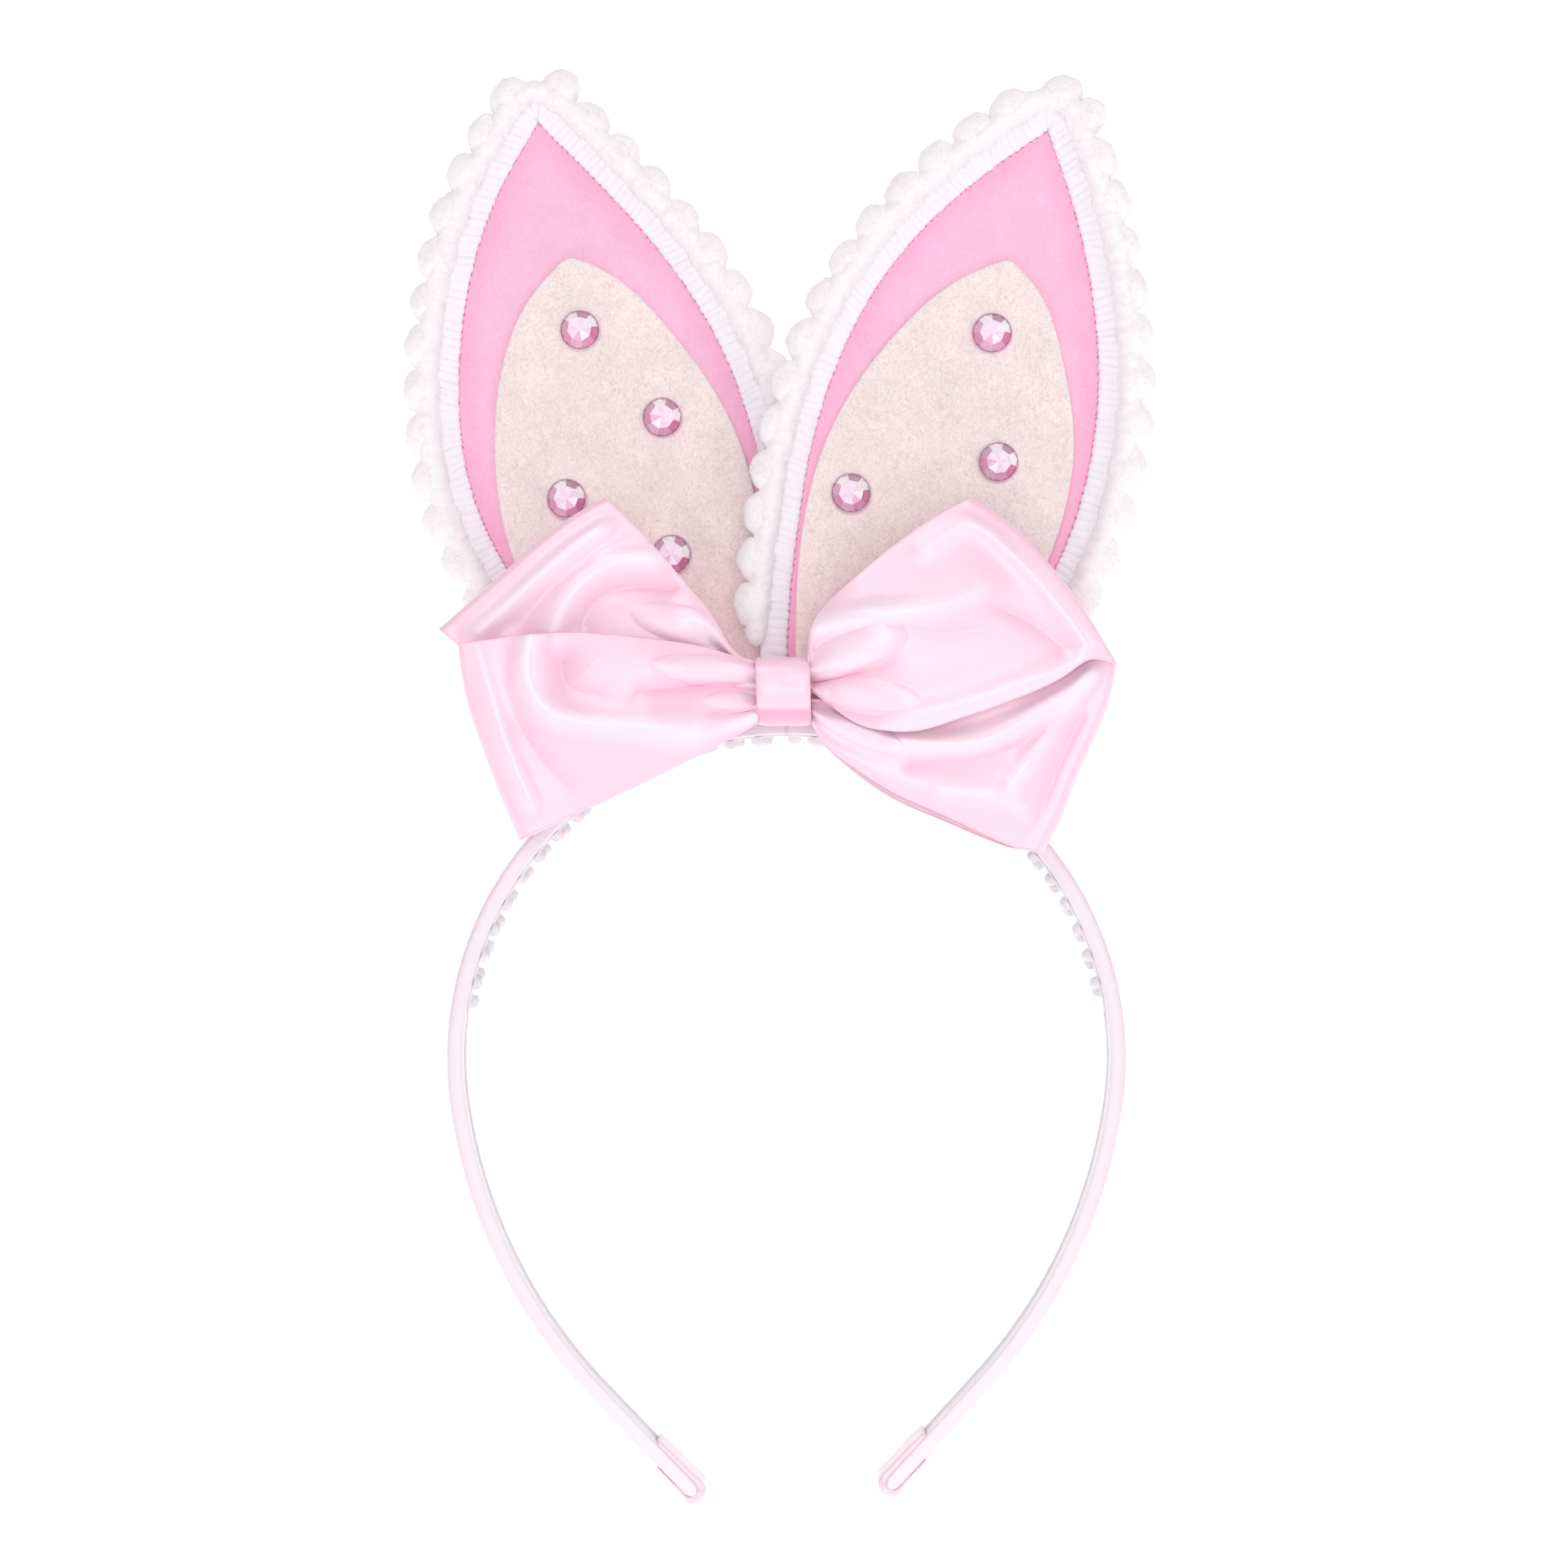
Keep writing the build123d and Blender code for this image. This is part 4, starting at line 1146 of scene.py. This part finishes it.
# Each loop's outlines in X and Z: top and bottom run out from the knot, and the fold from the top's end to the
# bottom's. y is the depth at the knot, halfway, at the fold and where the back layer comes home. roll is the
# fold's radius at its top and its bottom, belly how far the front and the back layer swell, and pleats their
# number, reach and depth in front and behind.
LOOPS = {
    "upper_right": {
        "top": [(4.1, 14.3), (4.3, 17.5), (5.4, 21.5), (9.0, 25.8), (16.5, 32.4), (27.0, 40.2), (35.7, 45.0)],
        "bottom": [(4.4, 8.6), (9.2, 5.0), (14.0, 1.9), (19.2, 0.7), (24.0, 0.6), (31.0, 2.4), (43.0, 6.6),
                   (53.0, 11.2), (60.0, 14.0), (62.9, 13.2)],
        "fold": [(35.7, 45.0), (43.0, 39.6), (50.0, 32.2), (56.2, 24.2), (60.8, 16.8), (62.9, 13.2)],
        "roll": (2.07, 1.265), "y": (-15.2, -19.6, -19.4, -14.4), "belly": (2.0, 0.6), "seed": 71,
        "pleats": (2.6, 0.16, 0.6, 1.2),
        "lobes": [(12.4, 15.4, 11.0, 3.7, 20.0, 1.3), (13.5, 8.0, 12.0, 3.2, -8.0, 0.7)],
        "ribs": [
            ([(5.0, 20.0), (14.0, 22.4), (24.0, 23.2), (36.6, 27.2)], 1.8, 0.7, 2.0, 4.0),
            ([(22.0, 20.4), (30.0, 19.2), (38.0, 19.6)], -0.7, -0.2, 2.0, 4.0),
            ([(4.4, 9.6), (9.0, 10.5), (14.0, 11.6), (20.0, 13.8)], -1.8, -0.3, 1.0, 1.8),
            ([(8.0, 5.6), (14.0, 3.8), (20.0, 3.4)], -0.8, -0.2, 1.6, 2.4),
            ([(20.0, 2.6), (31.0, 4.6), (44.0, 9.0), (56.0, 13.6)], 0.9, 0.7, 2.6, 2.6),
            ([(26.0, 35.5), (36.0, 40.5), (43.0, 36.0), (52.0, 26.0), (58.5, 17.0)], 0.5, 0.8, 2.4, 2.4),
            ([(40.0, 24.0), (48.0, 20.0), (53.0, 16.0)], -0.6, -0.5, 3.0, 3.0),
        ],
    },
    "lower_left": {
        "top": [(-5.6, 12.8), (-11.0, 15.0), (-18.0, 16.8), (-28.0, 18.0), (-40.0, 19.0), (-52.0, 18.3),
                (-62.4, 16.8)],
        "bottom": [(-5.4, 2.2), (-10.0, -0.4), (-18.0, -4.6), (-28.0, -9.6), (-39.0, -14.6), (-50.8, -20.3)],
        "fold": [(-62.4, 16.8), (-61.8, 11.5), (-60.3, 4.5), (-57.4, -4.0), (-54.2, -12.4), (-50.8, -20.3)],
        "roll": (1.1, 2.2), "y": (-15.2, -19.4, -19.4, -14.4), "belly": (1.4, 0.6), "seed": 72,
        "pleats": (3.2, 0.14, 0.5, 1.2),
        "lobes": [(-15.0, 12.0, 11.0, 2.9, -5.0, 1.1), (-10.6, 6.3, 5.0, 1.8, 0.0, 0.7)],
        "ribs": [
            ([(-28.0, 8.2), (-22.0, 8.6), (-14.5, 9.4), (-6.0, 9.0)], -0.7, -1.6, 2.4, 1.0),
            ([(-14.0, 4.2), (-10.0, 3.9), (-6.0, 4.6)], -0.5, -1.0, 1.2, 0.8),
            ([(-6.0, 3.4), (-16.0, 0.6), (-30.0, -3.0)], 1.0, 0.2, 1.6, 4.0),
            ([(-48.6, 18.2), (-49.2, 11.3), (-45.8, 5.0), (-34.0, 1.8), (-18.4, 1.6)], 1.5, 0.8, 2.6, 2.8),
            ([(-43.0, 13.5), (-42.0, 9.5), (-36.0, 7.5)], -1.3, -0.5, 4.2, 4.2),
            ([(-60.4, 15.0), (-58.4, 9.7), (-55.4, -1.1), (-50.4, -13.3)], 0.5, 1.0, 2.4, 2.6),
            ([(-51.5, 2.0), (-46.0, -6.0), (-42.0, -10.0)], -0.5, -0.4, 3.4, 3.4),
        ],
    },
    "upper_left": {
        "top": [(-5.8, 13.9), (-8.6, 14.6), (-10.6, 16.4), (-13.6, 21.4), (-18.8, 28.0), (-26.2, 36.6),
                (-35.0, 45.2)],
        "bottom": [(-5.6, 6.6), (-16.0, 4.4), (-30.0, 3.4), (-44.0, 6.2), (-55.0, 11.6), (-62.2, 16.7),
                   (-66.5, 20.2)],
        "fold": [(-35.0, 45.2), (-43.5, 40.0), (-52.0, 32.8), (-60.0, 25.8), (-66.5, 20.2)],
        "roll": (1.89, 1.68), "y": (-12.6, -14.8, -15.0, -11.2), "belly": (1.0, 0.4), "seed": 73,
        "pleats": (3.5, 0.30, 0.8, 1.2),
        "lobes": [(-20.0, 21.0, 10.0, 3.6, -14.0, 0.5)],
        "ribs": [
            ([(-6.5, 13.2), (-12.0, 18.0), (-18.0, 22.4)], 1.0, 0.4, 1.8, 2.4),
            ([(-22.0, 27.5), (-30.0, 28.0), (-36.0, 25.5), (-39.0, 21.0)], -1.2, -0.7, 2.4, 2.8),
            ([(-26.0, 33.5), (-35.0, 32.0), (-42.0, 26.0), (-45.0, 20.0)], 1.2, 0.8, 2.8, 3.0),
            ([(-36.5, 39.5), (-45.0, 33.6), (-53.5, 26.2), (-60.0, 20.6)], 1.1, 1.0, 2.9, 2.7),
            ([(-38.0, 33.0), (-46.0, 27.0), (-51.0, 21.0)], -0.5, -0.4, 3.0, 3.0),
        ],
    },
    "lower_right": {
        "top": [(4.6, 8.4), (18.0, 13.4), (34.0, 18.0), (50.0, 19.4), (59.5, 16.8), (63.1, 13.4)],
        "bottom": [(4.9, 2.2), (7.2, -1.4), (12.6, -6.0), (20.4, -11.0), (29.8, -15.2), (37.4, -18.8),
                   (45.0, -21.8), (49.1, -22.7)],
        "fold": [(63.1, 13.4), (61.9, 7.0), (58.2, -2.4), (54.8, -10.4), (52.0, -17.4), (49.1, -22.7)],
        "roll": (1.47, 1.89), "y": (-12.8, -15.0, -15.4, -11.2), "belly": (0.9, 0.4), "seed": 74,
        "pleats": (3.5, 0.30, 0.8, 1.2), "back_drop": -1.3,
        "lobes": [(14.0, 0.6, 9.0, 2.6, -24.0, 0.9)],
        "ribs": [
            ([(5.0, 4.0), (9.0, -0.6), (15.0, -4.6), (24.0, -8.6)], 1.0, 0.4, 1.4, 3.0),
            ([(24.0, -5.6), (34.0, -5.2), (44.0, -2.2), (52.0, 2.6)], -1.0, -0.8, 2.2, 2.2),
            ([(22.0, -1.6), (30.0, -2.2), (39.4, -0.9), (49.5, 5.2), (57.0, 10.6)], 1.2, 1.0, 2.6, 2.2),
            ([(43.0, -9.5), (48.0, -3.0), (53.0, 3.8), (59.0, 11.0)], 1.0, 1.0, 2.4, 2.0),
            ([(57.6, 2.0), (53.8, -6.0), (50.2, -15.0)], -0.7, -0.5, 2.0, 2.0),
            ([(30.0, -11.0), (40.0, -12.5), (46.0, -15.0)], 0.6, 0.5, 3.2, 3.2),
        ],
    },
}


def build_bow():
    loops = {name: make_loop(spec) for name, spec in LOOPS.items()}
    for layer, left, right in (("front", "lower_left", "upper_right"), ("rear", "upper_left", "lower_right")):
        strips = [loops[right], tuple(a[:, ::-1] for a in loops[left])]
        ribbon_piece(f"bow_{layer}_satin", strips, 38.0, [f"bow_{layer}_ribbon"])
        m = Mesh()
        for grid, _ in strips:
            for j in (0, -1):
                selvedge(m, grid[:, j])
        seat(m.make(f"bow_{layer}_selvedges", MAT["bow"]), "crown", "bow_satin")


def build_wrap():
    """Narrow ribbon wound once round the knot and its thread, its front bowed and its lower part turned under."""
    path = [(-9.3, 8.1), (-9.5, 12.8), (-11.2, 14.3), (-14.4, 14.5), (-16.7, 13.4), (-17.55, 10.6), (-17.7, 8.0),
            (-17.3, 5.6), (-15.9, 3.0), (-13.4, 1.8), (-11.0, 1.9), (-9.5, 3.6), (-9.3, 8.1)]
    ring = spline(path, 110)
    y, z = ring[:, 0], ring[:, 1]
    cols = np.linspace(0, 1, 41)
    h = (z - 1.8) / 12.8
    left, right = -5.4 - 0.5 * h, 4.6 - 0.4 * h
    sag = 0.22 * np.exp(-((z - 4.9) / 0.5) ** 2) * (y < -14)
    crush = 0.35 * (2 * cols - 1)[None] ** 6 + 0.05 * noise(z[:, None] * 0.6, cols[None] * 4, seed=90)
    crush = crush + np.outer(sag, 0.6 + 0.4 * np.sin(9 * cols))
    centre = np.array([-13.4, 8.1])
    yz = ring[:, None] - unit(ring - centre)[:, None] * crush[..., None]
    grid = np.stack([left[:, None] + np.outer(right - left, cols), yz[..., 0], yz[..., 1]], -1)
    # painted shade: the wrap is darker and pinker low down, where it turns under
    under = smooth((5.4 - grid[..., 2]) / 1.4)[..., None]
    tint = 1 - under * np.array([0.09, 0.38, 0.26])
    ribbon_piece("bow_centre_wrap_satin", [(grid, tint)], 10.0, ["bow_centre_wrap"],
                 thick=0.3)
    m = Mesh()
    for j in (0, -1):
        selvedge(m, grid[:, j], 0.17)
    seat(m.make("bow_wrap_selvedges", MAT["bow"]), "crown", "bow_satin")
    m = Mesh()
    wound = np.tile(centre + (ring[:-1] - centre) * 0.84, (6, 1))
    selvedge(m, np.column_stack([np.linspace(-1.9, 0.9, len(wound)), wound]), 0.2, 0.6)
    seat(m.make("bow_tie_thread_wound", MAT["thread"]), "crown", "thread", "bow_tie_thread")


# ---- crown pieces that mostly hide behind the bow ---------------------------------------------------------
def build_saddle():
    """Felt strip on the crown under the ears' feet."""
    deg = np.linspace(-SADDLE_DEG, SADDLE_DEG, 120)
    half = SADDLE_W / 2
    profile = [(-half, 0.06), (-half - 0.02, 0.5), (-half + 0.3, 0.86), (-half + 1.0, 0.98), (0, SADDLE_T)]
    profile = np.array(profile + [(-w, h) for w, h in profile[-2::-1]])
    pts = swept(crown_arc(SADDLE_R, deg), profile)
    pts[..., 1] += 0.06 * noise(deg[:, None] * 0.9, np.arange(len(profile))[None] * 0.7, seed=77)
    m = Mesh()
    m.tube(pts, flip=True)
    obj = m.make("crown_felt_saddle_cloth", MAT["pink"])
    seat(obj, "crown", "pink_felt", "crown_felt_saddle")


def build_glue():
    """Uneven hot-melt beads along the ears' feet and a pad behind the knot."""
    turn = circle(12)
    for side in SIDES:
        lo, hi = (np.array(v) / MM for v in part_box(f"glue_bead_{side}"))
        deg = np.linspace(4.0, 24.0, 70) * SIGN[side]
        line = crown_arc(CROWN_R + SADDLE_T, deg)
        r = 0.62 + 0.16 * noise(deg * 0.45, 0.0, seed=81) + 0.06 * noise(deg * 1.4, 0.0, seed=82)
        r = (r * np.sqrt(np.clip(1 - np.abs(np.linspace(-1, 1, 70)) ** 8, 0.05, 1)))[:, None]
        pts = swept(line, np.zeros((len(turn), 2)))
        push_out(pts, line[1], 0.25 + r * (0.9 * np.sin(turn) + 0.3))
        pts[..., 1] = (lo[1] + hi[1]) / 2 + 0.95 * r * np.cos(turn)
        m = Mesh()
        m.tube(pts, flip=side == "right")
        seat(m.make(f"glue_bead_{side}_melt", MAT["glue"]), "crown", "hot_glue", f"glue_bead_{side}")

    def squared(v):
        return np.sign(v) * np.abs(v) ** 0.6

    lo, hi = (np.array(v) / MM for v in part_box("bow_glue_pad"))
    th, ph = np.linspace(0, pi, 18)[:, None], circle(28)[None]
    around = squared(np.sin(th))
    p = np.stack(np.broadcast_arrays(around * squared(np.cos(ph)), squared(np.cos(th)), around * squared(np.sin(ph))),
                 -1) * (hi - lo) / 2
    p = p * (1 + 0.06 * noise(p[..., 0], p[..., 1], p[..., 2], seed=85))[..., None] + (lo + hi) / 2
    m = Mesh()
    m.grid(p, wrap_v=True)
    seat(m.make("bow_glue_pad_melt", MAT["glue"], merge=0.0005), "crown", "hot_glue", "bow_glue_pad")


# ---- light, floor and camera ------------------------------------------------------------------------------
FLOOR_Z, WALL_Y, WALL_TOP, SWEEP_R, SWEEP_HALF_W = -151.5, 1500.0, 2600.0, 900.0, 3500.0
LAMPS = {  # place in metres, size, watts; each lamp faces the origin
    "key": ((-0.30, -0.85, 0.62), (0.55, 0.40), 2.3),
    "front": ((0.06, -1.35, 0.04), (0.8, 0.6), 4.5),
    "side": ((0.85, -0.62, 0.30), (0.35, 0.7), 1.4),
    "top": ((0.05, 0.05, 1.1), (0.9, 0.5), 1.2),
}
CAMERA_X, CAMERA_Z, DISTANCE, FRONT_PLANE, FRAME_W, SENSOR_W = -0.47, -9.6, 700.0, 5.0, 304.3, 36.0


def build_paper():
    """Pale paper that lies under the headband and sweeps up behind it, glowing a little away from the front."""
    path = [(-3000.0, FLOOR_Z)]
    path += [(y, FLOOR_Z) for y in np.linspace(-2000, WALL_Y - SWEEP_R, 12)]
    for k in range(1, 17):
        a = radians(90 * k / 16)
        path.append((WALL_Y - SWEEP_R + SWEEP_R * sin(a), FLOOR_Z + SWEEP_R * (1 - cos(a))))
    path.append((WALL_Y, WALL_TOP))
    m = Mesh()
    m.grid(np.array([[(x, y, z) for x in np.linspace(-SWEEP_HALF_W, SWEEP_HALF_W, 9)] for y, z in path]))
    paper = Shader("studio_paper", (0.93, 0.925, 0.925), 0.9)
    paper.feed("Emission Color", (1.0, 0.99, 0.99))
    y = paper.node("ShaderNodeSeparateXYZ", Vector=paper.coords()).outputs["Y"]
    glow = paper.node("ShaderNodeMapRange", interpolation_type="SMOOTHSTEP", Value=y, From_Min=-350.0,
                      From_Max=-40.0, To_Min=0.0, To_Max=0.62)
    paper.feed("Emission Strength", glow.outputs["Result"])
    paper.drift(paper.noise(0.02, 2.0), (0.925, 0.92, 0.92), (0.94, 0.935, 0.935))
    m.make("studio_sweep", paper.mat)


def build_stage():
    scene = bpy.context.scene
    scene.view_settings.view_transform = "Standard"
    world = bpy.data.worlds.new("studio")
    world.use_nodes = True
    scene.world = world
    back = world.node_tree.nodes["Background"]
    back.inputs["Color"].default_value = (1.0, 0.985, 0.99, 1)
    back.inputs["Strength"].default_value = 0.44
    build_paper()
    for name, (at, size, power) in LAMPS.items():
        lamp = bpy.data.lights.new(name, "AREA")
        lamp.shape = "RECTANGLE"
        lamp.size, lamp.size_y = size
        lamp.energy = power
        obj = bpy.data.objects.new(name, lamp)
        obj.location = at
        obj.rotation_euler = (-Vector(at)).to_track_quat("-Z", "Y").to_euler()
        scene.collection.objects.link(obj)
    lens = bpy.data.cameras.new("camera")
    lens.sensor_width = SENSOR_W
    lens.lens = SENSOR_W * (DISTANCE - FRONT_PLANE) / FRAME_W
    lens.clip_start, lens.clip_end = 0.01, 20.0
    camera = bpy.data.objects.new("camera", lens)
    camera.location = (CAMERA_X * MM, -DISTANCE * MM, CAMERA_Z * MM)
    camera.rotation_euler = (radians(90), 0, 0)
    scene.collection.objects.link(camera)
    scene.camera = camera


build_hoop()
build_comb()
build_tabs()
for ear_side in SIDES:
    build_ear(ear_side)
build_stones()
build_bow()
build_wrap()
build_saddle()
build_glue()
build_stage()
